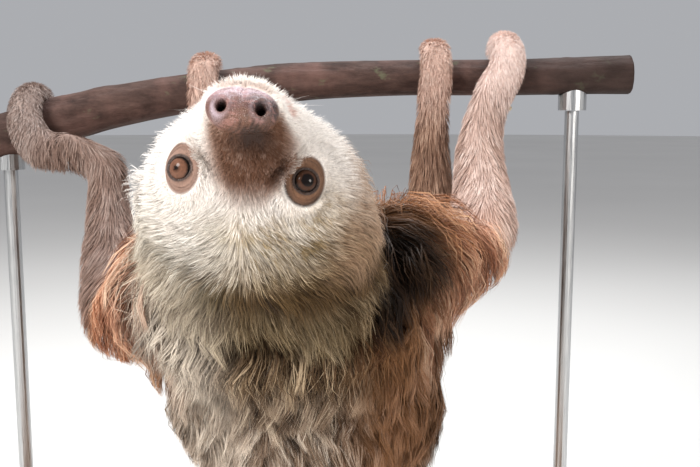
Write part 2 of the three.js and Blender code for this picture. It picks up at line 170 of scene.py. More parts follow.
PAIRED = ("upper_arm", "forearm", "hand", "thigh", "shank", "foot")
HEAD_NODES = ("head", "jaw", "nose", "ear_left", "ear_right")
REGIONS = {"head": HEAD_NODES}
REGIONS.update({name: (name,) for name in SINGLE})
REGIONS.update({f"{name}_{side}": (f"{name}_{side}",) for name in PAIRED for side in SIDES})
REGION_NAMES = list(REGIONS)
REGION_COATS = [COATS[name.removesuffix("_left").removesuffix("_right")] for name in REGION_NAMES]
FLESH = [node for nodes in REGIONS.values() for node in nodes]
TRUNK_REGIONS = [REGION_NAMES.index(name) for name in SINGLE]
PAW_REGIONS = [i for i, name in enumerate(REGION_NAMES) if name.startswith(("hand", "foot"))]


# ---- Small helpers on arrays of points ----
def unit(vectors):
    return vectors / np.maximum(np.linalg.norm(vectors, axis=-1, keepdims=True), 1e-9)


def ramp(low, high, values):
    """0 below low, 1 above high, and smooth between; high may be the smaller one."""
    share = np.clip((values - low) / (high - low), 0, 1)
    return share * share * (3 - 2 * share)


def peak(values, width):
    """1 at 0, and falling off to both sides within about this width."""
    return np.exp(-((values / width) ** 2))


def mix(a, b, share):
    return a + (b - a) * share


def dots(a, b):
    return np.sum(a * b, axis=-1, keepdims=True)


def smooth_through(places, values, at):
    """A smooth curve through the values."""
    slopes = np.gradient(values, places)
    i = np.clip(np.searchsorted(places, at) - 1, 0, len(places) - 2)
    span = places[i + 1] - places[i]
    t = np.clip((at - places[i]) / span, 0, 1)
    t2, t3 = t * t, t * t * t
    return (
        (2 * t3 - 3 * t2 + 1) * values[i]
        + (t3 - 2 * t2 + t) * span * slopes[i]
        + (3 * t2 - 2 * t3) * values[i + 1]
        + (t3 - t2) * span * slopes[i + 1]
    )


def head_axes():
    """Rows: across to the animal's left, towards the back of the head, and to the crown."""
    forward = unit(HEAD_FORWARD)
    crown = unit(HEAD_CROWN - forward * (HEAD_CROWN @ forward))
    crown = np.array(Matrix.Rotation(-HEAD_ROLL, 3, Vector(forward)) @ Vector(crown))
    return np.stack([np.cross(crown, forward), -forward, crown])


HEAD_AXES = head_axes()


def to_head(points):
    return (points - EYES_MIDDLE) @ HEAD_AXES.T


def from_head(points):
    return np.asarray(points) @ HEAD_AXES + EYES_MIDDLE


def turned_from_head(directions):
    return np.asarray(directions) @ HEAD_AXES


def mirrored(vector, side):
    """A left-side vector of the head's frame, on the side asked for: 1 is left and -1 is right."""
    return vector * np.array((side, 1, 1))


def from_pair(local, place):
    """Distance to a left-side place of the head or to its mirror image, whichever is nearer."""
    return np.minimum(*(np.linalg.norm(local - mirrored(place, side), axis=1) for side in SIDES.values()))


class Field:
    """Values on a grid of cubic cells, read between the cells' corners."""

    def __init__(self, values, low, cell):
        self.values = values
        self.low = np.asarray(low, float)
        self.cell = cell
        self.top = np.array(values.shape[:3]) - 1.001

    def at(self, points):
        place = np.clip((points - self.low) / self.cell, 0, self.top)
        base = place.astype(np.int32)
        part = place - base
        total = 0
        for corner in np.ndindex(2, 2, 2):
            weight = np.prod(np.where(corner, part, 1 - part), axis=1)
            i = base + np.array(corner)
            value = self.values[i[:, 0], i[:, 1], i[:, 2]]
            total = total + (value * weight if value.ndim == 1 else value * weight[:, None])
        return total

    def holds(self, points):
        place = (points - self.low) / self.cell
        return np.all((place > 2) & (place < self.top - 2), axis=1)

    def centres(self):
        """The place of every grid corner."""
        ranges = [self.low[i] + self.cell * np.arange(self.values.shape[i]) for i in range(3)]
        return np.stack(np.meshgrid(*ranges, indexing="ij"), -1).reshape(-1, 3)


def blurred(values, passes):
    """The grid's values, each mixed with its neighbours'."""
    for _ in range(passes):
        for axis in range(3):
            before = np.roll(values, 1, axis)
            after = np.roll(values, -1, axis)
            values = (before + 2 * values + after) / 4
    return values


# ---- The outline of the coat and the skin under it, as fields ----
def node_arrays(name):
    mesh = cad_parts[name].data
    points = np.zeros(len(mesh.vertices) * 3, np.float32)
    mesh.vertices.foreach_get("co", points)
    mesh.calc_loop_triangles()
    corners = np.zeros(len(mesh.loop_triangles) * 3, np.int32)
    mesh.loop_triangles.foreach_get("vertices", corners)
    return points.reshape(-1, 3), corners.reshape(-1, 3)


def joined_nodes(names):
    points, corners, count = [], [], 0
    for name in names:
        own_points, own_corners = node_arrays(name)
        points.append(own_points)
        corners.append(own_corners + count)
        count += len(own_points)
    return np.concatenate(points), np.concatenate(corners)


def outline_field(names, cell, reach, smoothing):
    """Distance to the outside of these solids together: below 0 inside them."""
    points, corners = joined_nodes(names)
    transform = openvdb.createLinearTransform(voxelSize=cell)
    make = openvdb.FloatGrid.createLevelSetFromPolygons
    joined = make(points, triangles=corners.astype(np.uint32), transform=transform, halfWidth=3.0)
    points, _, quads = joined.convertToPolygons(isovalue=0.0, adaptivity=0.0)
    grid = make(points, quads=quads, transform=transform, halfWidth=reach / cell)
    low, high = grid.evalActiveVoxelBoundingBox()
    values = np.zeros([high[i] - low[i] + 1 for i in range(3)], np.float32)
    grid.copyToArray(values, ijk=low)
    return Field(blurred(values, smoothing), np.array(low) * cell, cell)


def triangle_areas(points, corners):
    a, b, c = (points[corners[:, i]] for i in range(3))
    return np.linalg.norm(np.cross(b - a, c - a), axis=1) / 2


def scattered(points, corners, weight, count, rng):
    """Random places on the triangles, as many on each as its weight asks for."""
    pick = rng.choice(len(corners), count, p=weight / weight.sum())
    u, v = rng.random(count), rng.random(count)
    flip = u + v > 1
    u[flip], v[flip] = 1 - u[flip], 1 - v[flip]
    a, b, c = (points[corners[pick, i]] for i in range(3))
    return a + (b - a) * u[:, None] + (c - a) * v[:, None]


def region_field(low, high):
    """How near each region of the body is, as shares that add up to one."""
    cell, samples = 0.006, 3000
    shape = np.ceil((high - low) / cell).astype(int) + 1
    rng = np.random.default_rng(3)
    layers = np.zeros((*shape, len(REGIONS)), np.float32)
    for index, nodes in enumerate(REGIONS.values()):
        for node in nodes:
            points, corners = node_arrays(node)
            points = points.astype(float)
            areas = triangle_areas(points, corners)
            i = np.rint((scattered(points, corners, areas, samples, rng) - low) / cell).astype(int)
            np.add.at(layers[..., index], (i[:, 0], i[:, 1], i[:, 2]), areas.sum() * 1e4 / samples)
    layers = blurred(layers, 9) ** 2
    layers /= layers.sum(-1, keepdims=True) + 1e-20
    return Field(layers, low, cell)


def by_region(shares, key):
    """This property of the regions' coats, mixed by their shares."""
    return shares @ np.array([getattr(coat, key) for coat in REGION_COATS])


HEAD_DEPTH_AT = np.array((-0.040, -0.033, -0.015, 0.0, 0.015, 0.040, 0.075))
HEAD_DEPTH = np.array((0.0, 0.4, 1.4, 2.4, 4.0, 9.0, 15.0)) * MM
EAR_PLACE = np.array((0.0535, 0.033, -0.003))
EAR_SIZE = np.array((0.0035, 0.0105, 0.008))
EAR_ROOT = 0.006
HEAD_CELL = 0.0013  # of the fine grid round the head
HEAD_REACH = 0.1  # from the middle of the eyes
NOSTRIL_BALL = 0.0042  # radius of the ball that fills out each nostril's wing
CHIN_TUCK = 0.0016
DEEP = -0.062  # how far inside the outline the skin's field is worked out
SHOULDER_TOP = np.array((0.077, -0.062, 0.352))  # on the right, where the long hair stands up


def mane(points):
    """How far a place is on top of the right shoulder, from 0 to 1."""
    return ramp(0.034, 0.017, np.linalg.norm((points - SHOULDER_TOP) / (1.3, 1.0, 1.0), axis=1))


def coat_depth(points, shares, facing_down):
    """How far the skin lies under the coat's outline: by region, and by place on the head."""
    depth = by_region(shares, "depth") + by_region(shares, "under") * facing_down
    head = shares[:, 0]
    local = to_head(points)
    own = np.interp(local[:, 1], HEAD_DEPTH_AT, HEAD_DEPTH)
    for side in SIDES.values():
        away, ahead = eye_distance(local, side)
        own = own * (1 - ramp(0.0150, 0.0105, away) * ramp(-0.012, -0.006, ahead))
    depth = depth * (1 - 0.9 * mane(points) * (1 - head))
    return depth + head * (own - REGION_COATS[0].depth)


def with_balls(values, local, place, radius):
    """The field joined with a ball at a left-side place of the head and one at its mirror image."""
    return np.minimum(values, from_pair(local, place) - radius)


def with_ears(values, local):
    """The field joined with a small thin ear on each side, on a broad root."""
    for side in SIDES.values():
        length = np.linalg.norm((local - mirrored(EAR_PLACE, side)) / EAR_SIZE, axis=1)
        values = np.minimum(values, (length - 1) * EAR_SIZE[0] * 1.5)
        inward = local - mirrored(EAR_PLACE - np.array((0.009, 0, 0)), side)
        values = np.minimum(values, np.linalg.norm(inward / (2.2, 1, 1), axis=1) - EAR_ROOT)
    return values


class Body:
    """The fields that the skin and the coat are made from."""

    def __init__(self):
        self.outline = outline_field(FLESH, 0.004, 0.064, 2)
        low = self.outline.low
        high = low + self.outline.cell * (np.array(self.outline.values.shape) - 1)
        self.regions = region_field(low, high)
        self.skin = self.inset(self.outline)
        local = to_head(self.skin.centres())
        around_eyes = with_balls(self.skin.values.reshape(-1), local, EYE_PLACE, LID_BALL)
        self.skin.values = around_eyes.reshape(self.skin.values.shape)
        self.head_outline = outline_field((*HEAD_NODES, "neck"), HEAD_CELL, 0.018, 2)
        shape = self.head_outline.values.shape
        local = to_head(self.head_outline.centres())
        values = self.head_outline.values.reshape(-1)
        values = with_balls(values, local, NOSTRIL + np.array((0, NOSTRIL_BALL, 0)), NOSTRIL_BALL)
        values = with_balls(values, local, EYE_PLACE, LID_BALL)
        values = values + CHIN_TUCK * ramp(-0.015, -0.023, local[:, 2]) * ramp(-0.018, -0.030, local[:, 1])
        self.head_outline.values = blurred(values.astype(np.float32).reshape(shape), 2)
        self.head_skin = self.inset(self.head_outline)
        values = with_ears(self.head_skin.values.reshape(-1), local)
        self.head_skin.values = blurred(values.astype(np.float32).reshape(shape), 1)

    def inset(self, outline):
        """The skin's field: the outline's, moved in by the coat's depth."""
        values = outline.values.reshape(-1).copy()
        near = np.flatnonzero(values > DEEP)
        near = near[values[near] < 0.03]
        points = outline.centres()[near]
        down = -np.gradient(outline.values, outline.cell, axis=2).reshape(-1)[near]
        shares = self.regions.at(points)
        values[near] += coat_depth(points, shares, ramp(0.1, 0.9, down))
        return Field(blurred(values.reshape(outline.values.shape), 1), outline.low, outline.cell)

    def above(self, points, fine_field, coarse_field):
        """Height over a surface: from the fine field near it on the head, and the coarse one elsewhere."""
        height = coarse_field.at(points)
        near = fine_field.holds(points)
        near[near] = fine_field.at(points[near]) < fine_field.cell * 12
        height[near] = fine_field.at(points[near])
        return height

    def above_skin(self, points):
        return self.above(points, self.head_skin, self.skin)

    def above_outline(self, points):
        return self.above(points, self.head_outline, self.outline)

    def slope(self, points, above, step=0.003):
        """The way in which the height grows fastest."""
        parts = [above(points + step * axis) - above(points - step * axis) for axis in np.eye(3)]
        return unit(np.stack(parts, -1))


@functools.lru_cache(maxsize=1)
def body():
    return Body()


# ---- Markings, shared by the skin and the coat ----
WHITE = colour(247, 241, 236)
FOREHEAD = colour(232, 224, 212)
CROWN_PALE = colour(189, 164, 122)
# the crown's pale hair on the left, with painted light in it
CROWN_PALE_AND_LIT_LEFT = colour(242, 240, 230)
CROWN_MIDDLE = colour(120, 94, 60)
CROWN_DARK = colour(52, 37, 24)
ALGAE = colour(104, 106, 80)
THROAT_TAN = colour(182, 150, 122)
MUZZLE_BROWN = colour(112, 76, 56)
MUZZLE_PALE = colour(176, 140, 120)
MUZZLE_DARK = colour(58, 38, 30)
DAMP_DARK = colour(48, 29, 21)
NOSE_MAUVE = colour(110, 78, 74)
NOSE_TOP_PALE_AND_HIGHLIGHT = colour(208, 186, 196)
NOSE_PINK = colour(176, 128, 120)
NOSE_GREY = colour(52, 42, 43)
# painted highlight on the nostrils' rims
NOSTRIL_RIM_HIGHLIGHT = colour(186, 168, 178)
# painted shade inside the nostrils
NOSTRIL_PAINTED_SHADE = colour(26, 14, 12)
SCAB = colour(198, 134, 110)
ORANGE_SPECK = colour(196, 112, 48)
# the left ring lighter than the right: partly their own colours, partly painted light from the left
RINGS = {"left": colour(148, 118, 104), "right": colour(118, 84, 62)}
LID_EDGE = colour(40, 26, 22)
PUPIL_DARK = colour(16, 10, 9)
# painted shade in the mouth's groove
MOUTH_GROOVE_SHADE = colour(70, 46, 40)
FLANK_CREAM = colour(230, 218, 202)
FLANK_TAN = colour(150, 92, 36)
HOLLOW_PAINTED_SHADE = colour(26, 18, 13)
# painted shade for the left arm
LEFT_ARM_PAINTED_SHADE = colour(92, 68, 56)
MANE_TAN = colour(244, 190, 158)
SKIN_SHADE = 0.42  # the skin's place between the dark hairs and the pale ones
NAPE_PAINTED_SHADOW = (0.46, 0.56, 0.73)  # painted shadow on the nape below the head: how much of each primary the nape's middle loses
# painted shade in the hollows between the head and the right shoulder
SHADED_HOLLOWS = (
    (0.073, -0.108, 0.348),
    (0.082, -0.084, 0.340),
    (0.074, -0.126, 0.334),
    (0.083, -0.106, 0.326),
    (0.092, -0.084, 0.328),
    (0.078, -0.120, 0.314),
)
RING_SHAPE = 0.87  # how tall a bare ring is drawn against its width
RING_EDGE = 0.0114
CREASE_AT = 0.0082
CREASE_DEPTH = 0.0006
FOLD_STEP = 0.0014
FOLD_DEPTH = 0.00028
# half of the brown bridge's width on each side, from the nose, first, to the forehead
BRIDGE_AT = (-0.040, -0.028, -0.018, -0.010, -0.004, 0.002)
BRIDGE_LEFT = (0.017, 0.016, 0.0138, 0.0105, 0.0055, 0.0)
BRIDGE_RIGHT = (0.025, 0.024, 0.0235, 0.0215, 0.0135, 0.0)
BRIDGE_FADE = 0.0045


def painted(base, *layers):
    """The base colours under these layers of paint, each a colour and its share."""
    for paint, share in layers:
        base = base + (paint - base) * np.asarray(share)[:, None]
    return base


def eye_frame(local, side):
    """Offsets from an eyeball's centre, the lids' axis, and the way to the crown across that axis."""
    gaze = unit(mirrored(EYE_AXIS, side))
    return local - mirrored(EYE_PLACE, side), gaze, unit(np.array((0, 0, 1.0)) - gaze * gaze[2])


def eye_distance(local, side):
    """Distance from the lids' axis, shorter towards the crown, and how far ahead of the eye's centre."""
    offset, gaze, upward = eye_frame(local, side)
    ahead = offset @ gaze
    aside = offset - ahead[:, None] * gaze
    aside = aside - (1 - RING_SHAPE) * (aside @ upward)[:, None] * upward
    return np.linalg.norm(aside, axis=1), ahead


def bare_ring(local, side):
    """How far a place is on the hairless ring round an eye."""
    away, ahead = eye_distance(local, side)
    return ramp(RING_EDGE, 0.0096, away) * ramp(-0.008, -0.003, ahead)


def nose_pad(local):
    """How far a place is on the hairless end of the nose."""
    reach = (local - np.array((0, -0.045, -0.0085))) / np.array((0.0172, 0.0140, 0.0104))
    return ramp(1.12, 0.95, np.linalg.norm(reach, axis=1))


def spot(local, place, size):
    """How far a place is inside a small round spot."""
    return ramp(1.3, 0.5, np.linalg.norm(local - np.array(place), axis=1) / size)


def scab_patch(local):
    """The reddish sore at the right of the nose."""
    return spot(local, (-0.0168, -0.0240, -0.0240), 0.0066) * (0.75 + 0.25 * np.sin(local[:, 0] * 3000))


def damp_patch(local):
    """The dark wet patch under the right nostril, with an uneven edge."""
    x, y, z = local.T
    uneven = np.sin(x * 900 + 1.0) * np.cos(z * 1100) + 0.8 * np.sin(x * 2300 + z * 1700 - y * 1900)
    away = np.linalg.norm((local - np.array((-0.0068, -0.0350, 0.0026))) / (1.15, 1.0, 1.0), axis=1)
    return ramp(0.0114, 0.0034, away * (1 + 0.2 * uneven))


def crown_markings(local, shade, late):
    """From the white face to the dark ends of the crown; late is how far along, from 0 to 1."""
    x, y, z = local.T
    # paler on the left: partly the crown's own paler hair, partly painted light from the left
    lightest = painted(np.tile(CROWN_PALE, (len(x), 1)), (CROWN_PALE_AND_LIT_LEFT, ramp(-0.016, 0.024, x)))
    crown = painted(
        np.tile(CROWN_DARK, (len(x), 1)),
        (CROWN_MIDDLE, np.clip(shade * 2.2, 0, 1)),
        (lightest, np.clip(shade * 2.2 - 1, 0, 1)),
    )
    cheek = np.maximum(ramp(0.016, -0.012, z) * ramp(0.06, 0.03, y), ramp(0.012, -0.006, y))
    # painted light: the lit left of the forehead painted white
    painted_light_left = ramp(0.0, 0.032, x) * ramp(0.040, 0.010, y)
    green = ramp(0.034, 0.056, y) * ramp(0.085, 0.065, y) * ramp(-0.010, 0.022, x) * ramp(0.072, 0.045, x)
    side_of_nape = ramp(0.008, 0.036, x) * ramp(0.034, 0.060, y)
    throat = ramp(-0.034, -0.058, x) * ramp(-0.002, 0.020, y) * ramp(0.060, 0.035, y)
    return painted(
        lightest,
        (FOREHEAD, ramp(0.1, 0.6, shade)),
        (crown, late),
        (WHITE, cheek * 0.94),
        (WHITE, painted_light_left * 0.7),
        (ALGAE, green * (0.32 - 0.2 * shade)),
        (FLANK_CREAM, side_of_nape * 0.8 * mix(0.35, 1.0, shade)),
        (THROAT_TAN, throat * (0.9 - 0.3 * shade)),
    )


def head_markings(local, shade):
    """Colours on the head; shade, from 0 to 1, goes from the dark hairs to the pale ones."""
    x, y, z = local.T
    left, right = np.maximum(x, 0), np.maximum(-x, 0)
    # the crown darkens towards its end; that it does so later on the left and sooner on the right is painted
    # light from the left and painted shade on the right
    shade = shade * (1 - 0.5 * ramp(0.030, 0.062, y + 0.15 * right - 0.4 * left))
    late = ramp(0.0, 0.056, y + 0.28 * right - 0.25 * left)
    # the brown bridge of the nose fades out on the forehead, and reaches the right eye's ring
    reach = np.where(x > 0, np.interp(y, BRIDGE_AT, BRIDGE_LEFT), np.interp(y, BRIDGE_AT, BRIDGE_RIGHT))
    top = np.where(x > 0, ramp(-0.010, -0.002, z), ramp(-0.014, -0.007, z))
    tan_reach = reach + BRIDGE_FADE + 0.003 * ramp(-0.026, -0.015, y) * (x > 0)
    bridge = ramp(tan_reach, reach - BRIDGE_FADE, np.abs(x)) * top * ramp(0.001, -0.013, y)
    core = ramp(reach + 0.001, reach - 0.007, np.abs(x)) * bridge
    under_nose = ramp(-0.016, -0.034, y) * ramp(-0.006, 0.001, z) * ramp(0.014, -0.004, x)
    lips = ramp(-0.034, -0.042, y) * ramp(-0.016, -0.019, z) * ramp(-0.026, -0.022, z)
    return painted(
        crown_markings(local, shade, late),
        (MUZZLE_PALE, bridge * 0.9),
        (MUZZLE_BROWN, core * ramp(0.9, 0.2, shade * 0.6) * 0.95),
        (MUZZLE_DARK, under_nose * bridge * 0.8),
        (DAMP_DARK, damp_patch(local) * 0.92),
        (SCAB, scab_patch(local) * 0.75),
        (ORANGE_SPECK, spot(local, (-0.0011, 0.0113, 0.0251), 0.0012) * 0.8),
        (MUZZLE_PALE, lips * ramp(0.018, 0.008, np.abs(x)) * 0.5),
    )


def coat_colours(points, shares, shade):
    """Colour of the coat at these places; shade picks from the dark hairs, 0, to the pale ones, 1."""
    palette = np.einsum("nr,rkc->nkc", shares, np.stack([coat.colours for coat in REGION_COATS]))
    local = to_head(points)
    on_head = np.clip(shares[:, 0] * 1.6 - 0.3, 0, 1) * ramp(0.100, 0.055, local[:, 1])
    x, y, z = points.T
    flank = shares[:, TRUNK_REGIONS].sum(1) * ramp(0.04, -0.05, y)
    # distance to the nearest of the hollows where shade is painted
    to_shaded_hollows = np.min([np.linalg.norm(points - np.array(place), axis=1) for place in SHADED_HOLLOWS], axis=0)
    colours = painted(
        palette[:, 0],
        (palette[:, 1], np.clip(shade * 2, 0, 1)),
        (palette[:, 2], np.clip(shade * 2 - 1, 0, 1)),
        (FLANK_CREAM, flank * ramp(-0.005, -0.045, x) * 0.95 * mix(0.3, 1.0, shade)),
        (FLANK_TAN, flank * ramp(0.035, 0.080, x) * 0.85 * mix(0.4, 1.0, shade)),
        (HOLLOW_PAINTED_SHADE, ramp(0.028, 0.014, to_shaded_hollows) * (1.0 - 0.28 * shade)),
        (MANE_TAN, mane(points) * ramp(0.346, 0.364, z) * mix(0.25, 0.9, shade)),
    )
    # the low side of the right upper arm is in the body's shade
    colours = colours * mix(1.0, 0.7, ramp(0.350, 0.300, z) * ramp(0.090, 0.115, x))[:, None]
    colours = painted(
        colours,
        # painted shade on the left arm
        (LEFT_ARM_PAINTED_SHADE, ramp(-0.115, -0.135, x) * (0.75 - 0.25 * shade)),
        (head_markings(local, shade), on_head),
    )
    y = local[:, 1]
    # painted shadow on the nape below the head, lighter on the pale strands
    nape = ramp(0.040, 0.068, y) * ramp(0.165, 0.125, y) * ramp(0.020, -0.004, local[:, 0])
    return colours * (1 - np.outer(nape * (1 - 0.5 * shade), NAPE_PAINTED_SHADOW))


# ---- Materials ----
class Finish:
    """A material with one Principled shader, and short ways to add and join nodes."""

    def __init__(self, name, **sockets):
        self.material = bpy.data.materials.new(name)
        self.material.use_nodes = True
        self.tree = self.material.node_tree
        self.shader = self.tree.nodes["Principled BSDF"]
        for socket, value in sockets.items():
            self.set(self.shader, socket.replace("_", " "), value)

    def set(self, node, socket, value):
        if isinstance(value, bpy.types.NodeSocket):
            self.tree.links.new(value, node.inputs[socket])
        elif isinstance(value, (tuple, list, np.ndarray)) and node.inputs[socket].type == "RGBA":
            node.inputs[socket].default_value = (*value[:3], 1)
        else:
            node.inputs[socket].default_value = value

    def node(self, kind, sockets=None, **settings):
        node = self.tree.nodes.new(kind)
        for key, value in settings.items():
            setattr(node, key, value)
        for socket, value in (sockets or {}).items():
            self.set(node, socket, value)
        return node

    def place(self):
        return self.node("ShaderNodeTexCoord").outputs["Object"]

    def attribute(self, name, output="Color"):
        return self.node("ShaderNodeAttribute", attribute_name=name).outputs[output]

    def stretched(self, scale):
        mapping = self.node("ShaderNodeMapping", {"Vector": self.place(), "Scale": scale})
        return mapping.outputs["Vector"]

    def noise(self, scale, detail=4.0, vector=None, roughness=0.6):
        vector = vector or self.place()
        sockets = {"Scale": scale, "Detail": detail, "Roughness": roughness, "Vector": vector}
        return self.node("ShaderNodeTexNoise", sockets).outputs["Fac"]

    def between(self, value, low, high, bottom=0.0, top=1.0):
        sockets = {"Value": value, "From Min": low, "From Max": high, "To Min": bottom, "To Max": top}
        return self.node("ShaderNodeMapRange", sockets).outputs["Result"]

    def sum(self, a, b, operation="ADD"):
        return self.node("ShaderNodeMath", {0: a, 1: b}, operation=operation).outputs[0]

    def blend(self, share, a, b, how="MIX"):
        node = self.node("ShaderNodeMix", data_type="RGBA", blend_type=how)
        self.set(node, 0, share)
        self.set(node, 6, a)
        self.set(node, 7, b)
        return node.outputs[2]

    def times(self, value, grey):
        """A colour made lighter or darker by a plain value."""
        shade = self.node("ShaderNodeCombineColor", {"Red": grey, "Green": grey, "Blue": grey})
        return self.blend(1.0, value, shade.outputs[0], "MULTIPLY")

    def bump(self, height, distance, strength=1.0):
        sockets = {"Height": height, "Distance": distance, "Strength": strength}
        self.set(self.shader, "Normal", self.node("ShaderNodeBump", sockets).outputs["Normal"])

    def colour(self, value):
        self.set(self.shader, "Base Color", value)


def skin_finish():
    finish = Finish("skin", Specular_IOR_Level=0.45)
    wet = finish.attribute("Wet", "Fac")
    speckle = finish.between(finish.noise(900), 0.35, 0.65, 0.86, 1.08)
    finish.colour(finish.times(finish.attribute("Markings"), speckle))
    pores = finish.node("ShaderNodeTexVoronoi", {"Scale": 1500.0, "Vector": finish.place()})
    gloss = finish.between(finish.noise(420), 0.35, 0.7, 0.22, 0.5)
    rough = finish.node("ShaderNodeMix", {0: wet, 2: 0.78, 3: gloss})
    finish.set(finish.shader, "Roughness", rough.outputs[0])
    hairs = finish.noise(650, 6.0, finish.stretched((1.0, 0.35, 1.0)))
    height = finish.node("ShaderNodeMix", {0: wet, 2: hairs, 3: pores.outputs["Distance"]})
    finish.bump(height.outputs[0], 0.0006, 0.7)
    return finish.material


def coat_finish():
    finish = Finish(
        "coat", Roughness=0.55, Specular_IOR_Level=0.16, Sheen_Weight=0.05, Sheen_Roughness=0.4,
        Sheen_Tint=(1.0, 0.93, 0.84),
    )
    strand = finish.between(finish.noise(700, 3.0), 0.3, 0.7, 0.8, 1.12)
    finish.colour(finish.times(finish.attribute("Coat"), strand))
    finish.bump(finish.noise(1600, 2.0), 0.0002, 0.4)
    return finish.material


def eye_centre(side):
    return from_head(mirrored(EYE_PLACE, SIDES[side]))


def iris_direction(side):
    return turned_from_head(unit(mirrored(np.array(IRIS_AXIS[side]), SIDES[side])))


def eye_finish(side, iris, bulge):
    """A wet eyeball: bands of colour round the way the iris looks, from the dark white to the pupil."""
    finish = Finish(
        f"eye_{side}", Roughness=0.45, Specular_IOR_Level=0.04, Coat_Weight=0.4, Coat_Roughness=0.06,
        Coat_IOR=1.4,
    )
    centre = eye_centre(side)
    gaze = iris_direction(side)
    pupil = PUPIL_EDGE[side]
    out = finish.node("ShaderNodeVectorMath", {0: finish.place(), 1: tuple(centre)}, operation="SUBTRACT")
    sockets = {0: out.outputs[0], 1: tuple(gaze)}
    ahead = finish.node("ShaderNodeVectorMath", sockets, operation="DOT_PRODUCT")
    height = finish.between(ahead.outputs["Value"], 0.0, EYE_RADIUS * (1 + bulge))
    fibres = finish.noise(900, 5.0)
    edge = finish.sum(height, finish.between(fibres, 0.3, 0.7, -0.012, 0.012))
    bands = finish.node("ShaderNodeValToRGB", {"Fac": edge})
    stops = (
        (0.0, colour(92, 62, 50)), (0.5, colour(50, 32, 25)), (0.66, colour(14, 9, 8)),
        (0.715, colour(12, 8, 7)), (0.755, iris * 0.5), (0.83, iris), (pupil - 0.03, iris),
        (pupil, iris * 0.6), (pupil + 0.012, PUPIL_DARK),
    )
    while len(bands.color_ramp.elements) < len(stops):
        bands.color_ramp.elements.new(0.5)
    for element, (position, value) in zip(bands.color_ramp.elements, stops):
        element.position = position
        element.color = (*value, 1)
    finish.colour(finish.times(bands.outputs["Color"], finish.between(fibres, 0.25, 0.75, 0.75, 1.25)))
    return finish.material


def claw_finish():
    finish = Finish("claw", Roughness=0.33, Specular_IOR_Level=0.5, Coat_Weight=0.3, Coat_Roughness=0.2)
    along = finish.attribute("Along", "Fac")
    streaks = finish.noise(500, 5.0, finish.stretched((2.2, 0.4, 0.4)))
    base = finish.blend(finish.between(along, 0.0, 1.0), colour(150, 128, 104), colour(206, 190, 162))
    finish.colour(finish.blend(finish.between(streaks, 0.35, 0.7, 0.0, 0.55), base, colour(104, 82, 62)))
    finish.bump(streaks, 0.0003, 0.5)
    return finish.material


def bark_finish():
    finish = Finish("bark", Specular_IOR_Level=0.25)
    cut = finish.attribute("Cut", "Fac")
    ridges = finish.noise(90, 9.0, finish.stretched((0.3, 1.0, 1.0)), 0.7)
    patches = finish.noise(24, 5.0)
    bark = finish.blend(finish.between(ridges, 0.3, 0.66), colour(40, 27, 24), colour(88, 66, 59))
    bark = finish.blend(finish.between(patches, 0.48, 0.7, 0.0, 0.8), bark, colour(108, 80, 73))
    lichen = finish.between(finish.noise(55, 8.0, finish.stretched((0.8, 1.2, 1.2))), 0.62, 0.7, 0.0, 0.55)
    bark = finish.blend(lichen, bark, colour(104, 110, 84))
    rings = finish.noise(260, 3.0, finish.stretched((0.05, 1.0, 1.0)))
    wood = finish.blend(finish.between(rings, 0.35, 0.65), colour(190, 156, 112), colour(222, 196, 152))
    # painted shade: the bark a little darker all over and much darker towards its right end
    bark = finish.blend(finish.attribute("PaintedShade", "Fac"), bark, colour(36, 26, 23))
    finish.colour(finish.blend(cut, bark, wood))
    finish.set(finish.shader, "Roughness", finish.between(ridges, 0.3, 0.7, 0.9, 0.68))
    finish.bump(ridges, 0.0024, 1.0)
    return finish.material


def board_finish():
    finish = Finish("board", Coat_Weight=0.35, Coat_Roughness=0.25)
    warp = finish.noise(5, 3.0)
    grain = finish.node(
        "ShaderNodeTexWave",
        {"Vector": finish.stretched((0.35, 1.0, 1.0)), "Scale": 22.0, "Distortion": 9.0, "Detail": 4.0,
         "Detail Scale": 0.9},
        bands_direction="Y",
    ).outputs["Fac"]
    pores = finish.noise(240, 5.0, finish.stretched((0.06, 1.0, 1.0)))
    wood = finish.blend(finish.between(grain, 0.1, 0.9), colour(118, 82, 54), colour(158, 116, 78))
    wood = finish.blend(finish.between(pores, 0.52, 0.68, 0.0, 0.6), wood, colour(84, 56, 36))
    finish.colour(finish.blend(finish.between(warp, 0.4, 0.6, 0.0, 0.25), wood, colour(176, 134, 92)))
    finish.set(finish.shader, "Roughness", finish.between(pores, 0.4, 0.7, 0.38, 0.55))
    finish.bump(pores, 0.0002, 0.4)
    return finish.material


def steel_finish():
    finish = Finish("steel", Metallic=1.0)
    brushed = finish.noise(1400, 3.0, finish.stretched((1.0, 1.0, 0.03)))
    shine = finish.between(brushed, 0.3, 0.7)
    finish.colour(finish.blend(shine, colour(168, 170, 172), colour(204, 205, 206)))
    finish.set(finish.shader, "Roughness", finish.between(brushed, 0.3, 0.7, 0.26, 0.4))
    finish.bump(brushed, 0.00004, 0.5)
    return finish.material


def floor_finish():
    finish = Finish("studio_floor", Roughness=0.75, Specular_IOR_Level=0.2)
    soft = finish.between(finish.noise(0.7, 2.0), 0.3, 0.7)
    finish.colour(finish.blend(soft, colour(222, 220, 217), colour(228, 226, 223)))
    return finish.material


# ---- Making objects ----
def piece(name, mesh, material, slot, *nodes):
    """Show this mesh as a piece of the model, in the place of these nodes if any are named."""
    made = bpy.data.objects.new(name, mesh)
    bpy.context.scene.collection.objects.link(made)
    mesh.materials.append(material)
    mesh.polygons.foreach_set("use_smooth", np.ones(len(mesh.polygons), bool))
    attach(made, "root")
    if nodes:
        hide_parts(*nodes)


def mesh_of(bm, name):
    """The bmesh as a mesh, with its faces turned outwards."""
    bmesh.ops.recalc_face_normals(bm, faces=bm.faces)
    mesh = bpy.data.meshes.new(name)
    bm.to_mesh(mesh)
    bm.free()
    return mesh


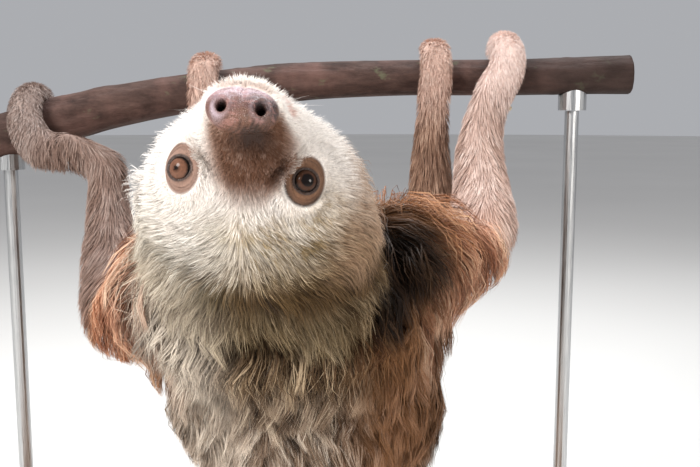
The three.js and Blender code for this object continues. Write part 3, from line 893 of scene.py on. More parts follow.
def points_of(mesh):
    points = np.zeros(len(mesh.vertices) * 3, np.float32)
    mesh.vertices.foreach_get("co", points)
    return points.reshape(-1, 3).astype(float)


def moved_to(bm, points):
    for vertex, point in zip(bm.verts, points):
        vertex.co = point


def add_colours(mesh, name, colours):
    layer = mesh.color_attributes.new(name, "FLOAT_COLOR", "POINT")
    rgba = np.ones((len(colours), 4), np.float32)
    rgba[:, :3] = np.clip(colours, 0, 1)
    layer.data.foreach_set("color", rgba.ravel())


def add_values(mesh, name, values):
    layer = mesh.attributes.new(name, "FLOAT", "POINT")
    layer.data.foreach_set("value", np.asarray(values, np.float32))


# ---- Skin ----
def on_skin(points, rounds=3):
    """The points moved straight on to the skin."""
    fields = body()
    for _ in range(rounds):
        height = fields.above_skin(points)
        points = points - fields.slope(points, fields.above_skin, 0.0015) * height[:, None]
    return points


def mouth_line(local, width):
    """How near the mouth line a place is; the line rises a little towards the cheeks, and ends there."""
    y = local[:, 1]
    return peak(local[:, 2] - (MOUTH_DROP + 0.006 * ramp(-0.040, -0.006, y)), width) * ramp(-0.008, -0.014, y)


def lid_angles(local, side):
    """Offset and distance from an eye's centre, and the angle past the edge of its lids, in degrees."""
    offset, gaze, upward = eye_frame(local, side)
    sideways = np.cross(upward, gaze)
    radius = np.linalg.norm(offset, axis=1)
    angle = np.degrees(np.arccos(np.clip(offset @ gaze / np.maximum(radius, 1e-6), -1, 1)))
    turn = np.arctan2(offset @ upward, offset @ sideways)
    return offset, radius, angle - (LID_OPENING + 1.5 * np.cos(2 * turn))


def with_lids(local, side):
    """The skin round an eye drawn over the eyeball, with a thick rim."""
    offset, radius, past = lid_angles(local, side)
    target = mix(EYE_RADIUS * 0.8, EYE_RADIUS + LID_THICKNESS, ramp(-7, 1, past))
    result = mix(target, radius, ramp(4, 26, past))
    moved = local + offset * ((result / np.maximum(radius, 1e-6)) - 1)[:, None]
    return np.where((radius < LID_REACH)[:, None], moved, local)


def eye_folds(local, away):
    """The wrinkles of the bare ring round an eye, from -1 to 1."""
    return np.sin(away * math.tau / FOLD_STEP + 1.5 * np.sin(local[:, 2] * 600) + local[:, 0] * 200)


def with_nose(local):
    """Nostrils with thick rims, a groove between them, and the pad standing off the muzzle."""
    x, y, z = local.T
    pad = nose_pad(local)
    normal = unit(local - np.array((0, -0.028, -0.011)))
    push = PAD_RISE * pad - PAD_RISE * peak(pad - 0.5, 0.28) * (y < -0.028)
    sink = np.zeros(len(local))
    front = ramp(-0.034, -0.040, y)
    for side in SIDES.values():
        away_x, away_z = x - side * NOSTRIL[0], z - NOSTRIL[2]
        across = away_x * NOSTRIL_LEAN[0] + side * away_z * NOSTRIL_LEAN[1]
        along = away_z * NOSTRIL_LEAN[0] - side * away_x * NOSTRIL_LEAN[1]
        reach = np.hypot(across / NOSTRIL_SIZE[0], along / NOSTRIL_SIZE[1])
        sink += NOSTRIL_DEPTH * ramp(1.15, 0.45, reach) * front
        push = push + NOSTRIL_RISE * peak(reach - 1.7, 0.5) * front
    groove = peak(x, 0.0011) * ramp(-0.008, -0.014, z) * ramp(-0.032, -0.038, y)
    push = push - GROOVE_DEPTH * groove
    result = local + normal * push[:, None]
    result[:, 1] += sink
    return result


def sculpted(points):
    """The skin's points with the mouth, the nose, and the lids and folds round the eyes."""
    local = to_head(points)
    inward = unit(local - np.array((0, 0, -0.015)))
    local = with_nose(local - inward * (mouth_line(local, 0.0008) * MOUTH_DEPTH)[:, None])
    for side in SIDES.values():
        away, ahead = eye_distance(local, side)
        folds = FOLD_DEPTH * eye_folds(local, away) * ramp(0.0066, 0.0078, away) * ramp(0.0120, 0.0104, away)
        crease = peak(away - CREASE_AT, 0.0006) * ramp(-0.003, 0.004, local[:, 2])
        folds = folds - CREASE_DEPTH * crease
        local = with_lids(local + inward * (folds * (ahead > 0))[:, None], side)
    return from_head(local)


def ring_colours(local, side):
    """The bare ring round an eye, with painted shade in its folds, in its crease, at its inner corner, next
    to the lids and along its outer edge, most on the right ring's lower side.
    """
    away = eye_distance(local, SIDES[side])[0]
    ring = RINGS[side]
    # painted shade on the ring next to the lids
    shade = mix(ring * 0.72, ring, ramp(2, 9, lid_angles(local, SIDES[side])[2])[:, None])
    edge = 0.2 + 0.5 * ramp(-0.002, 0.008, local[:, 2]) * (side == "right")
    # painted shade in the crease, along the outer edge and in the folds
    dark = peak(away - CREASE_AT, 0.0005) * 0.22
    dark = np.maximum(dark, ramp(0.0080, 0.0098, away) * edge)
    dark = dark + 0.24 * ramp(-0.2, 0.9, eye_folds(local, away)) * ramp(0.0070, 0.0085, away)
    # painted shade at the inner corner
    inner = ramp(0.002, -0.008, local[:, 0] * SIDES[side] - EYE_PLACE[0]) * ramp(0.0070, 0.0095, away)
    return shade * (1 - np.maximum(dark, 0.35 * inner))[:, None]


def nose_colours(points, local):
    """The bare nose: paler on top, partly its own colour and partly a painted highlight; pink and brown in
    patches, grey at the right, with painted highlights on the nostrils' rims and painted shade inside the
    nostrils.
    """
    x, y, z = local.T
    mottle = drift(points, 0.0075)[:, 0] + 0.7 * drift(points, 0.0031)[:, 1]
    colours = painted(
        np.tile(NOSE_MAUVE, (len(points), 1)),
        # paler on top: partly the nose's own colour, partly a painted highlight
        (NOSE_TOP_PALE_AND_HIGHLIGHT, ramp(-0.010, -0.017, z) * 0.75),
        (NOSE_GREY, ramp(0.001, -0.007, x) * ramp(-0.019, -0.011, z) * 0.85),
        (MUZZLE_BROWN, ramp(-0.010, -0.003, z) * 0.7),
        (NOSE_PINK, ramp(0.3, 1.6, mottle) * 0.4),
        (MUZZLE_BROWN, ramp(-0.3, -1.6, mottle) * 0.45),
    )
    for side in SIDES.values():
        away_x, away_z = x - side * NOSTRIL[0], z - NOSTRIL[2]
        reach = np.hypot(away_x / NOSTRIL_SIZE[0], away_z / NOSTRIL_SIZE[1])
        front = (y < -0.036) * 1.0
        # painted highlight on each rim's lit side, strong on the left nostril and faint on the right
        lit = ramp(-0.005, 0.004, away_x) * ramp(-0.006, 0.003, away_z)
        bright = 0.1 + 0.8 * lit if side > 0 else 0.08 + 0.1 * lit
        rim = peak(reach - 1.8, 0.5) * front * bright
        # painted highlight on the rim, and painted shade inside the nostril
        colours = painted(colours, (NOSTRIL_RIM_HIGHLIGHT, rim), (NOSTRIL_PAINTED_SHADE, ramp(1.15, 0.8, reach) * front))
    return painted(colours, (DAMP_DARK, damp_patch(local) * 0.9))


def skin_colours(points):
    """Colours and wetness of the skin itself."""
    shares = body().regions.at(points)
    colours = coat_colours(points, shares, np.full(len(points), SKIN_SHADE))
    length = by_region(shares, "length")
    # painted shade: the skin under longer hair is darker, as deep in the coat
    colours = colours * np.interp(length, (0.008, 0.020, 0.040), (1.0, 0.85, 0.45))[:, None]
    local = to_head(points)
    on_head = shares[:, 0] > 0.3
    wet = np.zeros(len(points))
    for side, sign in SIDES.items():
        ahead = eye_distance(local, sign)[1]
        lid = ramp(3.5, 0.5, lid_angles(local, sign)[2]) * on_head * (ahead > 0)
        ring = bare_ring(local, sign) * on_head
        colours = painted(colours, (ring_colours(local, side), ring), (LID_EDGE, lid * 0.85))
        wet = np.maximum(wet, lid * 0.8)
    pad = nose_pad(local) * on_head
    damp = damp_patch(local) * on_head
    wet = np.maximum(wet, np.maximum(pad, 0.25 * damp))
    mouth = mouth_line(local, 0.0009) * on_head
    colours = painted(
        colours,
        (nose_colours(points, local), pad),
        (DAMP_DARK, damp * 0.85),
        (SCAB, scab_patch(local) * on_head * 0.8),
        # painted shade in the mouth's groove
        (MOUTH_GROOVE_SHADE, mouth * 0.8),
    )
    return colours, wet


def refined(bm, wanted):
    """The faces asked for, cut in four and laid on the skin again."""
    centres = np.array([face.calc_center_median() for face in bm.faces])
    faces = [face for face, take in zip(bm.faces, wanted(to_head(centres))) if take]
    edges = list(dict.fromkeys(edge for face in faces for edge in face.edges))
    bmesh.ops.subdivide_edges(bm, edges=edges, cuts=1, use_grid_fill=True)
    points = np.array([vertex.co for vertex in bm.verts])
    near = np.linalg.norm(to_head(points), axis=1) < HEAD_REACH + 0.025
    points[near] = on_skin(points[near])
    moved_to(bm, points)


def head_zone(local):
    return np.linalg.norm(local - (0, 0.01, 0), axis=1) < HEAD_REACH


def face_zone(local):
    return (local[:, 1] < 0.018) & (np.linalg.norm(local, axis=1) < 0.07)


def detail_zone(local):
    return (local[:, 1] < -0.031) | (from_pair(local, EYE_PLACE) < 0.0155)


def make_skin():
    """Polygons round the skin's field, made finer in three steps towards the eyes and the nose."""
    fields = body()
    grid = openvdb.FloatGrid()
    grid.background = 0.1
    grid.copyFromArray(fields.skin.values)
    points, _, quads = grid.convertToPolygons(isovalue=0.0, adaptivity=0.0)
    points = points * fields.skin.cell + fields.skin.low
    mesh = bpy.data.meshes.new("skin")
    mesh.from_pydata(points, [], quads)
    bm = bmesh.new()
    bm.from_mesh(mesh)
    bmesh.ops.smooth_vert(bm, verts=bm.verts, factor=0.5, use_axis_x=True, use_axis_y=True, use_axis_z=True)
    for zone in (head_zone, face_zone, detail_zone):
        refined(bm, zone)
    points = np.array([vertex.co for vertex in bm.verts])
    near = np.linalg.norm(to_head(points), axis=1) < HEAD_REACH
    points[near] = sculpted(points[near])
    moved_to(bm, points)
    bmesh.ops.triangulate(bm, faces=bm.faces)
    skin = mesh_of(bm, "skin")
    points = points_of(skin)
    colours, wet = skin_colours(points)
    add_colours(skin, "Markings", colours)
    add_values(skin, "Wet", wet)
    piece("skin", skin, skin_finish(), "bare_skin", *FLESH)


# ---- Eyes ----
def make_eyes(sizes):
    for side, iris in {"left": sizes.iris_left, "right": sizes.iris_right}.items():
        bm = bmesh.new()
        bmesh.ops.create_uvsphere(bm, u_segments=48, v_segments=32, radius=EYE_RADIUS)
        for vertex in bm.verts:
            height = vertex.co.z / EYE_RADIUS
            vertex.co *= 1 + sizes.cornea_bulge * float(ramp(0.72, 0.95, height))
        turn = Vector(iris_direction(side)).to_track_quat("Z", "Y").to_matrix().to_4x4()
        place = Matrix.Translation(Vector(eye_centre(side)))
        bmesh.ops.transform(bm, matrix=place @ turn, verts=bm.verts)
        name = f"eyeball_{side}"
        finish = eye_finish(side, np.array(iris), sizes.cornea_bulge)
        piece(name, mesh_of(bm, name), finish, "eye", f"eye_{side}")


# ---- Coat ----
HAIR_AT = np.array((-0.046, -0.030, -0.012, 0.004, 0.016, 0.030, 0.050, 0.075))
HAIR_LENGTH = np.array((2.0, 3.0, 4.6, 7.0, 11.0, 17.0, 32.0, 52.0)) * MM
HAIR_WIDTH = np.array((0.24, 0.26, 0.28, 0.30, 0.33, 0.38, 0.48, 0.60)) * MM
CHIN_HAIR = 0.0045
EAR_HAIR = 0.021
SHORT_HAIR = 0.0024  # on the bridge of the nose and round the eyes
WHISKER_PLACE = np.array((0.021, -0.034, -0.014))
FLUFF_PLACE = np.array((0.051, 0.040, 0.006))  # the long hair behind each ear
GUARD_SHARE = 0.10  # of the head's hairs, which are longer and stand out further than the rest
GUARD_REACH = 0.0022
WHISKER_SHARE = 0.006
ROOT_DEPTH = 0.0006
LOCK = 60  # tufts to a lock
STRAND = 9  # tufts to a strand of a lock
BAKE_PATCH = 0.003  # side of each tuft's patch in the OFBake map
FACE_END = 0.014  # along the head, where the face's coat meets the crown's
DOWN = np.array((0, 0, -1.0))


def head_share(shares):
    return np.clip(shares[:, 0] * 1.5, 0, 1)


def head_hair_length(local):
    """Longer towards the nape, on the chin and behind the ears; short on the bridge and round the eyes."""
    x, y, z = local.T
    length = np.interp(y, HAIR_AT, HAIR_LENGTH)
    length = np.maximum(length, CHIN_HAIR * ramp(-0.012, -0.020, z))
    length = np.maximum(length, EAR_HAIR * ramp(0.020, 0.008, from_pair(local, FLUFF_PLACE)))
    bridge = ramp(-0.002, -0.014, y) * ramp(-0.008, 0.0, z) * ramp(0.024, 0.016, np.abs(x))
    short = np.maximum(bridge, ramp(0.0185, 0.0130, from_pair(local, EYE_PLACE)))
    return mix(length, np.minimum(length, SHORT_HAIR), short)


def coat_length(shares, local):
    """The usual length of the hair here."""
    return mix(by_region(shares, "length"), head_hair_length(local), head_share(shares))


def coat_width(shares, local):
    """The usual width of a tuft here."""
    return mix(by_region(shares, "width"), np.interp(local[:, 1], HAIR_AT, HAIR_WIDTH), head_share(shares))


def trunk_middle(points):
    """The x of the trunk's middle line beside these points."""
    return np.interp(points[:, 1], TRUNK_LINE[:, 1], TRUNK_LINE[:, 0])


class Tufts:
    """Roots of one coat piece's tufts, and what decides how each of them grows."""

    def __init__(self, roots, rng):
        fields = body()
        self.rng = rng
        self.roots = roots
        self.count = len(roots)
        self.shares = fields.regions.at(roots)
        self.local = to_head(roots)
        self.normals = fields.slope(roots, fields.above_skin)
        self.on_head = head_share(self.shares)
        self.on_ears = ramp(0.022, 0.010, from_pair(self.local, FLUFF_PLACE)) * self.on_head
        self.mane = mane(roots) * (1 - self.on_head)
        self.from_eye = from_pair(self.local, EYE_PLACE)
        on_lips = from_pair(self.local, WHISKER_PLACE) < 0.008
        self.whiskers = on_lips & (rng.random(self.count) < WHISKER_SHARE)
        loose = rng.random(self.count) ** 3
        short = self.on_head * ramp(0.045, 0.015, self.local[:, 1])
        self.guard = (rng.random(self.count) < GUARD_SHARE) & (short > 0.5) & (self.from_eye > 0.019)
        self.margin = self.margins(short, loose)

    def margins(self, short, loose):
        """How far past the coat's outline each tuft may reach."""
        x, y = self.local[:, 0], self.local[:, 1]
        margin = mix(0.001 + 0.005 * loose, 0.0002 + 0.0034 * loose, short) + GUARD_REACH * self.guard
        nape_end = self.on_head * ramp(0.036, 0.052, y) * ramp(0.052, 0.032, np.abs(x))
        nape_end = np.maximum(nape_end, 0.8 * self.shares[:, REGION_NAMES.index("neck")])
        cheek_side = self.on_head * ramp(-0.036, -0.052, x) * ramp(0.0, 0.02, y)
        margin = margin + nape_end * (0.008 + 0.006 * loose) - 0.0025 * cheek_side
        margin = mix(margin, 0.004 + 0.010 * loose, self.on_ears) + 0.02 * self.whiskers
        return margin + self.mane * (0.012 + 0.005 * loose)


def head_flow(local, normals):
    """Back from the nose, out to both sides from the parting over the crown, and away from the eyes."""

    def laid(directions):
        return unit(directions - normals * dots(directions, normals))

    source = np.zeros_like(local)
    source[:, 1] = np.clip(local[:, 1] - 0.020, -0.050, -0.006)
    source[:, 2] = -0.008
    away = laid((local - source) * (1.35, 1, 1))
    x, y = local[:, :1], local[:, 1:2]
    sideways = laid(np.broadcast_to((1.0, 0, 0), local.shape)) * np.tanh(x / 0.011)
    backwards = laid(np.broadcast_to((0, 1.0, 0), local.shape))
    fan = unit(sideways + backwards * mix(0.22, 0.72, ramp(0.004, 0.065, y)))
    on_crown = ramp(-0.008, 0.006, y) * ramp(0.1, 0.55, normals[:, 2:])
    away = unit(mix(away, fan, on_crown))
    for side in SIDES.values():
        out = local - mirrored(EYE_PLACE, side)
        near = ramp(0.028, 0.014, np.linalg.norm(out, axis=1))[:, None]
        out = laid(out)
        away = away - out * np.minimum(dots(away, out), 0) * near
        away = unit(away + mix(0.9, 2.0, ramp(-0.2, 0.4, dots(away, out))) * near**2 * out)
    return away


def drift(points, size):
    """A smooth wandering of directions, the same for neighbours."""
    total = np.zeros_like(points)
    for i, wave in enumerate((1.0, 1.7, 2.9)):
        turned = points[:, [1, 2, 0]] * math.tau / size * wave + i * 2.1
        total += np.sin(turned + np.roll(points, i, axis=1) * math.tau / size * 0.7) / wave
    return total


def lie_on_body(tufts):
    """Down the limbs and the trunk, off the skin by each region's lift, and up on the right shoulder."""
    normals, shares = tufts.normals, tufts.shares
    trunk = shares[:, TRUNK_REGIONS].sum(1, keepdims=True)
    paws = shares[:, PAW_REGIONS].sum(1, keepdims=True)
    aside = np.zeros_like(normals)
    aside[:, 0] = np.tanh((tufts.roots[:, 0] - trunk_middle(tufts.roots)) / 0.03)
    pull = DOWN + trunk * (np.array((0.02, 0.34, -0.25)) + 0.6 * aside * np.clip(normals[:, 2:], 0, 1))
    pull = pull + paws * np.array((0, -0.6, 0))
    outward = dots(pull, normals)
    along = pull - normals * outward * np.where(outward > 0, 0.45, 1.0)
    lift = by_region(shares, "lift")[:, None] * mix(0.8, 1.25, tufts.rng.random((tufts.count, 1)))
    lie = unit(along) + normals * lift * np.clip(1 - dots(normals, DOWN), 0.2, 1)
    lie = lie + (normals * 0.7 - DOWN * 0.7 + np.array((0.35, 0, 0))) * tufts.mane[:, None]
    return unit(lie) + drift(tufts.roots, 0.11) * mix(0.08, 0.02, paws)


def lie_on_head(tufts):
    """Along the head's flow, flattest beside the eyes, with ear hair, guard hairs and whiskers off it."""
    normals = tufts.normals
    short = ramp(0.05, 0.0, tufts.local[:, 1])[:, None]
    beside_eye = ramp(0.0215, 0.0150, tufts.from_eye)[:, None]
    flow = turned_from_head(head_flow(tufts.local, normals @ HEAD_AXES.T))
    stand = mix(0.4, 0.85, short) * mix(1.0, 0.4, beside_eye)
    stand = stand * mix(0.6, 1.4, tufts.rng.random((tufts.count, 1)))
    stand = stand + 1.3 * tufts.guard[:, None] + 1.5 * tufts.whiskers[:, None]
    lie = unit(flow + 0.35 * (1 - short) * DOWN) + normals * stand
    return lie + (normals * 0.8 + DOWN * 0.5) * tufts.on_ears[:, None]


def lie_of_coat(tufts):
    """The way each tuft leaves its root."""
    on_head = tufts.on_head[:, None]
    lie = mix(lie_on_body(tufts), lie_on_head(tufts), on_head)
    return unit(lie + tufts.rng.normal(0, 1, (tufts.count, 3)) * mix(0.11, 0.14, on_head))


def kept(points, clearance, margin):
    """The points moved out to their clearance over the skin, and in to their margin past the outline."""
    fields = body()
    points = points.copy()
    low = clearance - fields.above_skin(points)
    deep = low > 0
    if deep.any():
        points[deep] += fields.slope(points[deep], fields.above_skin) * low[deep, None]
    over = fields.above_outline(points) - margin
    far = over > 0
    if far.any():
        points[far] -= fields.slope(points[far], fields.above_outline) * over[far, None] * 0.8
    return points


def grown(tufts, segments):
    """Each tuft's line of points, kept over the skin and near the coat's outline, and its length."""
    length = coat_length(tufts.shares, tufts.local)
    length = length * mix(0.62, 1.12, tufts.rng.random(tufts.count) ** 0.7) * mix(1.0, 1.5, tufts.guard)
    length = np.where(tufts.whiskers, 0.013 + 0.007 * tufts.rng.random(tufts.count), length)
    own_droop = np.maximum(0.2 * ramp(0.025, 0.06, tufts.local[:, 1]), 0.25 * tufts.on_ears)
    droop = mix(by_region(tufts.shares, "droop"), own_droop, tufts.on_head)[:, None]
    heading = lie_of_coat(tufts)
    path = [tufts.roots - tufts.normals * ROOT_DEPTH]
    for i in range(segments):
        point = path[-1] + heading * (length / segments)[:, None]
        clearance = 0.0006 + 0.0014 * (i + 1) / segments * np.minimum(length / 0.02, 1)
        point = kept(point, clearance, tufts.margin)
        heading = unit(mix(unit(point - path[-1]), DOWN, droop))
        path.append(point)
    return np.stack(path, 1), length


def nearest_leader(roots, leaders):
    """Which of the first few tufts each tuft is nearest to."""
    tree = KDTree(leaders)
    for i in range(leaders):
        tree.insert(roots[i], i)
    tree.balance()
    return np.array([tree.find(root)[1] for root in roots])


def gathered(path, normals, lead, amount, power):
    """The tufts drawn towards their leaders' tips."""
    share = (np.linspace(0, 1, path.shape[1]) ** power)[None, :, None] * amount[:, None, None]
    agree = np.clip(dots(normals, normals[lead]) * 1.5 - 0.2, 0, 1)[:, None]
    return mix(path, path[lead], share * agree)


def waved(tufts, path, length, height, lead):
    """The tufts with loose waves in them, nearly in step within a lock."""
    phase = 2.2 * drift(tufts.roots, 0.16)[:, 0] + tufts.rng.normal(0, 0.5, tufts.count)[lead]
    phase = phase + tufts.rng.normal(0, 0.4, tufts.count)
    share = np.linspace(0, 1, path.shape[1])
    turn = (length / mix(0.055, 0.026, tufts.on_head))[:, None] * share * math.tau + phase[:, None]
    size = (height * np.clip(length / 0.05, 0.2, 1.2))[:, None] * share
    swing = unit(np.cross(path[:, -1] - path[:, 0], tufts.normals))[:, None]
    path = path + swing * (size * np.sin(turn))[..., None]
    return path + tufts.normals[:, None] * (size * 0.5 * np.cos(turn))[..., None]


def tuft_colours(tufts, path, lock_tone):
    """Colours along each tuft: darker at the root, partly the hair's own darker base and partly painted shade
    deep in the coat, with each lock a little different.
    """
    tone = np.clip(0.5 + lock_tone + tufts.rng.normal(0, 0.13, tufts.count), 0.04, 1)
    length = coat_length(tufts.shares, tufts.local)
    rootward = np.interp(length, (0.004, 0.012, 0.035), (0.9, 0.75, 0.28))
    rootward = np.maximum(rootward, 0.5 * ramp(0.095, 0.060, tufts.local[:, 1]))
    layers = []
    for i, share in enumerate(np.linspace(0, 1, path.shape[1])):
        shade = tone * mix(rootward, 1.0, min(share * 1.5, 1.0))
        layer = coat_colours(mix(tufts.roots, path[:, i], 0.85), tufts.shares, shade)
        # painted shade deep in the coat, darkest at the root
        depth = 1 - (1 - rootward) * 0.45 * (1 - share)
        layers.append(layer * depth[:, None])
    return np.stack(layers, 1)


def ribbons(name, path, width, normals, colours, uv, rng):
    """One mesh of thin flat tufts that taper to a point, with their colours and their OFBake patches."""
    count, rings = path.shape[:2]
    last = rings - 1
    along = np.linspace(0, 1, rings)
    tangent = unit(np.gradient(path, axis=1))
    across = unit(np.cross(tangent, normals[:, None]))
    over = np.cross(across, tangent)
    roll = rng.normal(0, 0.55, (count, 1, 1))
    side = across * np.cos(roll) + over * np.sin(roll)
    profile = np.interp(along, (0, 0.25, 0.7, 1), (0.7, 1.0, 0.75, 0.0))
    half = side * (width[:, None] * profile / 2)[..., None]
    pairs = np.stack([path - half, path + half], 2)[:, :last].reshape(count, last * 2, 3)
    points = np.concatenate([pairs, path[:, last:]], 1)
    face = [(2 * i, 2 * i + 1, 2 * i + 3, 2 * i, 2 * i + 3, 2 * i + 2) for i in range(last - 1)]
    face = np.array([index for quad in face for index in quad] + [2 * last - 2, 2 * last - 1, 2 * last])
    corners = (np.arange(count)[:, None] * points.shape[1] + face).reshape(-1, 3)
    mesh = bpy.data.meshes.new(name)
    mesh.from_pydata(points.reshape(-1, 3), [], corners)
    tint = np.concatenate([np.repeat(colours[:, :last], 2, axis=1), colours[:, last:]], 1)
    add_colours(mesh, "Coat", tint.reshape(-1, 3))
    patch_u = np.concatenate([np.tile((0.0, 1.0), last), (0.5,)])
    patch_v = np.concatenate([np.repeat(along[:last], 2), along[last:]])
    patch = np.stack([patch_u, patch_v], -1) * BAKE_PATCH
    spots = np.clip(uv, 0.001, 0.998 - BAKE_PATCH)[:, None] + patch[None]
    layer = mesh.uv_layers.new(name="OFBake")
    layer.data.foreach_set("uv", spots.reshape(-1, 2)[corners.ravel()].astype(np.float32).ravel())
    return mesh


def round_line(points, line, reference):
    """How far round a line of the body the points lie, and how far along it, both from 0 to 1."""
    starts = line[:-1]
    spans = line[1:] - starts
    lengths = np.linalg.norm(spans, axis=1)
    share = np.clip(np.einsum("nsk,sk->ns", points[:, None] - starts, spans) / lengths**2, 0, 1)
    foot = starts + share[..., None] * spans
    best = np.argmin(np.linalg.norm(points[:, None] - foot, axis=2), axis=1)
    row = np.arange(len(points))
    before = np.concatenate([[0], np.cumsum(lengths)])[:-1]
    along = (before[best] + share[row, best] * lengths[best]) / lengths.sum()
    offset = points - foot[row, best]
    axis = (spans / lengths[:, None])[best]
    first = unit(reference - axis * dots(np.broadcast_to(reference, axis.shape), axis))
    second = np.cross(axis, first)
    turn = np.arctan2((offset * second).sum(1), (offset * first).sum(1))
    return np.stack([turn / math.tau + 0.5, along], -1)


def round_head(local):
    """How far round the head the places lie, and how far from the nose to the nape, from 0 to 1."""
    offset = local - np.array((0, 0.012, -0.006))
    turn = np.arctan2(offset[:, 0], offset[:, 2])
    polar = np.arccos(np.clip(-unit(offset)[:, 1], -1, 1))
    return np.stack([turn / math.tau + 0.5, polar / math.pi], -1)


class CoatPlan:
    """One coat piece: the regions it covers, its half of the body, its tufts and how they gather."""

    def __init__(self, regions, segments, tufts, line=None, **other):
        self.regions = [REGION_NAMES.index(name) for name in regions]
        self.segments = segments
        self.tufts = tufts
        self.line = line
        self.half = other.get("half")
        self.gather = other.get("gather", (0.55, 0.62))
        self.wave = other.get("wave", 6.5) * MM
        self.reach = other.get("reach", (-math.inf, math.inf))  # along the head

    def covers(self, centres, shares):
        """Which of the skin's faces this piece grows from."""
        along = to_head(centres)[:, 1]
        covered = np.isin(np.argmax(shares, axis=1), self.regions)
        covered &= (along >= self.reach[0]) & (along < self.reach[1])
        if self.half:
            covered &= (centres[:, 0] > trunk_middle(centres)) == (self.half == "right")
        return covered

    def places(self, tufts):
        """Where each tuft's patch lies in the piece's OFBake map."""
        if self.line is None:
            uv = round_head(tufts.local)
        else:
            across = -1.0 if self.half == "left" else 1.0
            uv = round_line(tufts.roots, self.line, np.array((across, 0, 0.02)))
        low, high = uv.min(0), uv.max(0)
        return 0.01 + (uv - low) / (high - low) * 0.98


def coat_pieces():
    """The coat's pieces, in the order in which they grow."""
    face, crown = (-math.inf, FACE_END), (FACE_END, math.inf)
    pieces = {
        "coat_face": CoatPlan(["head"], 2, 46000, gather=(0.05, 0.18), wave=0.0, reach=face),
        "coat_crown": CoatPlan(["head"], 3, 30000, gather=(0.12, 0.38), wave=3.5, reach=crown),
        "coat_nape": CoatPlan(["neck"], 4, 25000, TRUNK_LINE),
    }
    for part, tufts in (("chest", 21000), ("loin", 17000)):
        for side in SIDES:
            pieces[f"coat_{part}_{side}"] = CoatPlan([part], 4, tufts, TRUNK_LINE, half=side)
    pieces["coat_rump"] = CoatPlan(["rump"], 4, 17000, TRUNK_LINE)
    limbs = (("arm", ("upper_arm", "forearm", "hand"), 22000), ("leg", ("thigh", "shank", "foot"), 16000))
    for kind, parts, tufts in limbs:
        for side in SIDES:
            regions = [f"{part}_{side}" for part in parts]
            line = LIMB_LINES[f"{kind}_{side}"]
            pieces[f"coat_{kind}_{side}"] = CoatPlan(regions, 3, tufts, line, wave=2.0)
    return pieces


def bare(local, on_head):
    """How far a place is bare: the nose, the rings round the eyes, the patches and the mouth line."""
    x, y, z = local.T
    thin = ramp(-0.026, -0.034, y) * ramp(-0.006, 0.0, z) * ramp(0.015, 0.008, np.abs(x))
    shares = (
        bare_ring(local, 1),
        bare_ring(local, -1),
        ramp(0.3, 0.8, nose_pad(local)),
        thin * 0.85,
        damp_patch(local) * 0.97,
        scab_patch(local) * 0.92,
        mouth_line(local, 0.001),
    )
    return np.max(shares, axis=0) * on_head


@functools.lru_cache(maxsize=1)
def skin_faces():
    """The skin's points and faces, and each face's centre and region shares."""
    mesh = bpy.data.objects["skin"].data
    points = points_of(mesh)
    corners = np.zeros(len(mesh.polygons) * 3, np.int32)
    mesh.polygons.foreach_get("vertices", corners)
    corners = corners.reshape(-1, 3)
    centres = points[corners].sum(axis=1) / 3
    return points, corners, centres, body().regions.at(centres)


def planted(plan, count, rng):
    """Roots of a coat piece's tufts: denser where they are short and thin, and none on bare skin."""
    points, corners, centres, shares = skin_faces()
    local = to_head(centres)
    size = coat_width(shares, local) * coat_length(shares, local)
    weight = triangle_areas(points, corners) * plan.covers(centres, shares) * size**-0.6
    weight = weight * (1 - bare(local, head_share(shares)))
    return scattered(points, corners, weight, count, rng)


def grow_piece(name, plan, sizes, material, seed):
    """One coat piece: its tufts grown, waved, drawn together in locks and strands, and coloured."""
    rng = np.random.default_rng(seed)
    count = int(plan.tufts * sizes.fullness)
    tufts = Tufts(planted(plan, count, rng), rng)
    path, length = grown(tufts, plan.segments)
    lead = nearest_leader(tufts.roots, max(count // LOCK, 8))
    strand = nearest_leader(tufts.roots, max(count // STRAND, 8))
    noise = rng.normal(0, 1, count)
    if plan.wave:
        path = waved(tufts, path, length, plan.wave, lead)
    locks = by_region(tufts.shares, "locks") * ~tufts.whiskers
    path = gathered(path, tufts.normals, lead, plan.gather[0] * locks, 1.3)
    path = gathered(path, tufts.normals, strand, plan.gather[1] * locks, 1.2)
    for ring in range(1, plan.segments + 1):
        path[:, ring] = kept(path[:, ring], 0.0004, tufts.margin)
    difference = mix(0.05, 0.15, locks) * mix(1.0, 1.35, ramp(0.02, 0.045, length))
    colours = tuft_colours(tufts, path, (noise[lead] + noise[strand]) * difference)
    width = coat_width(tufts.shares, tufts.local) * mix(0.6, 1.2, rng.random(count))
    width = width * sizes.tuft_width * mix(1.0, 0.5, tufts.whiskers)
    mesh = ribbons(name, path, width, tufts.normals, colours, plan.places(tufts), rng)
    piece(name, mesh, material, "pale_coat" if name in ("coat_face", "coat_crown") else "brown_coat")


def make_coat(sizes):
    material = coat_finish()
    for seed, (name, plan) in enumerate(coat_pieces().items(), 11):
        grow_piece(name, plan, sizes, material, seed)


# ---- Claws ----
def make_claws():
    """The claws' own solids with rounder faces, and how far along the claw each point is."""
    material = claw_finish()
    for name in [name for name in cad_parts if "_claw_" in name]:
        bm = bmesh.new()
        bm.from_mesh(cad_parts[name].data)
        bmesh.ops.remove_doubles(bm, verts=bm.verts, dist=1e-5)
        bmesh.ops.subdivide_edges(bm, edges=bm.edges, cuts=1, smooth=0.8, use_grid_fill=True)
        bmesh.ops.triangulate(bm, faces=bm.faces)
        mesh = mesh_of(bm, name.replace("claw", "nail"))
        height = points_of(mesh)[:, 2]
        add_values(mesh, "Along", (height.max() - height) / np.ptp(height))
        piece(mesh.name, mesh, material, "claw", name)


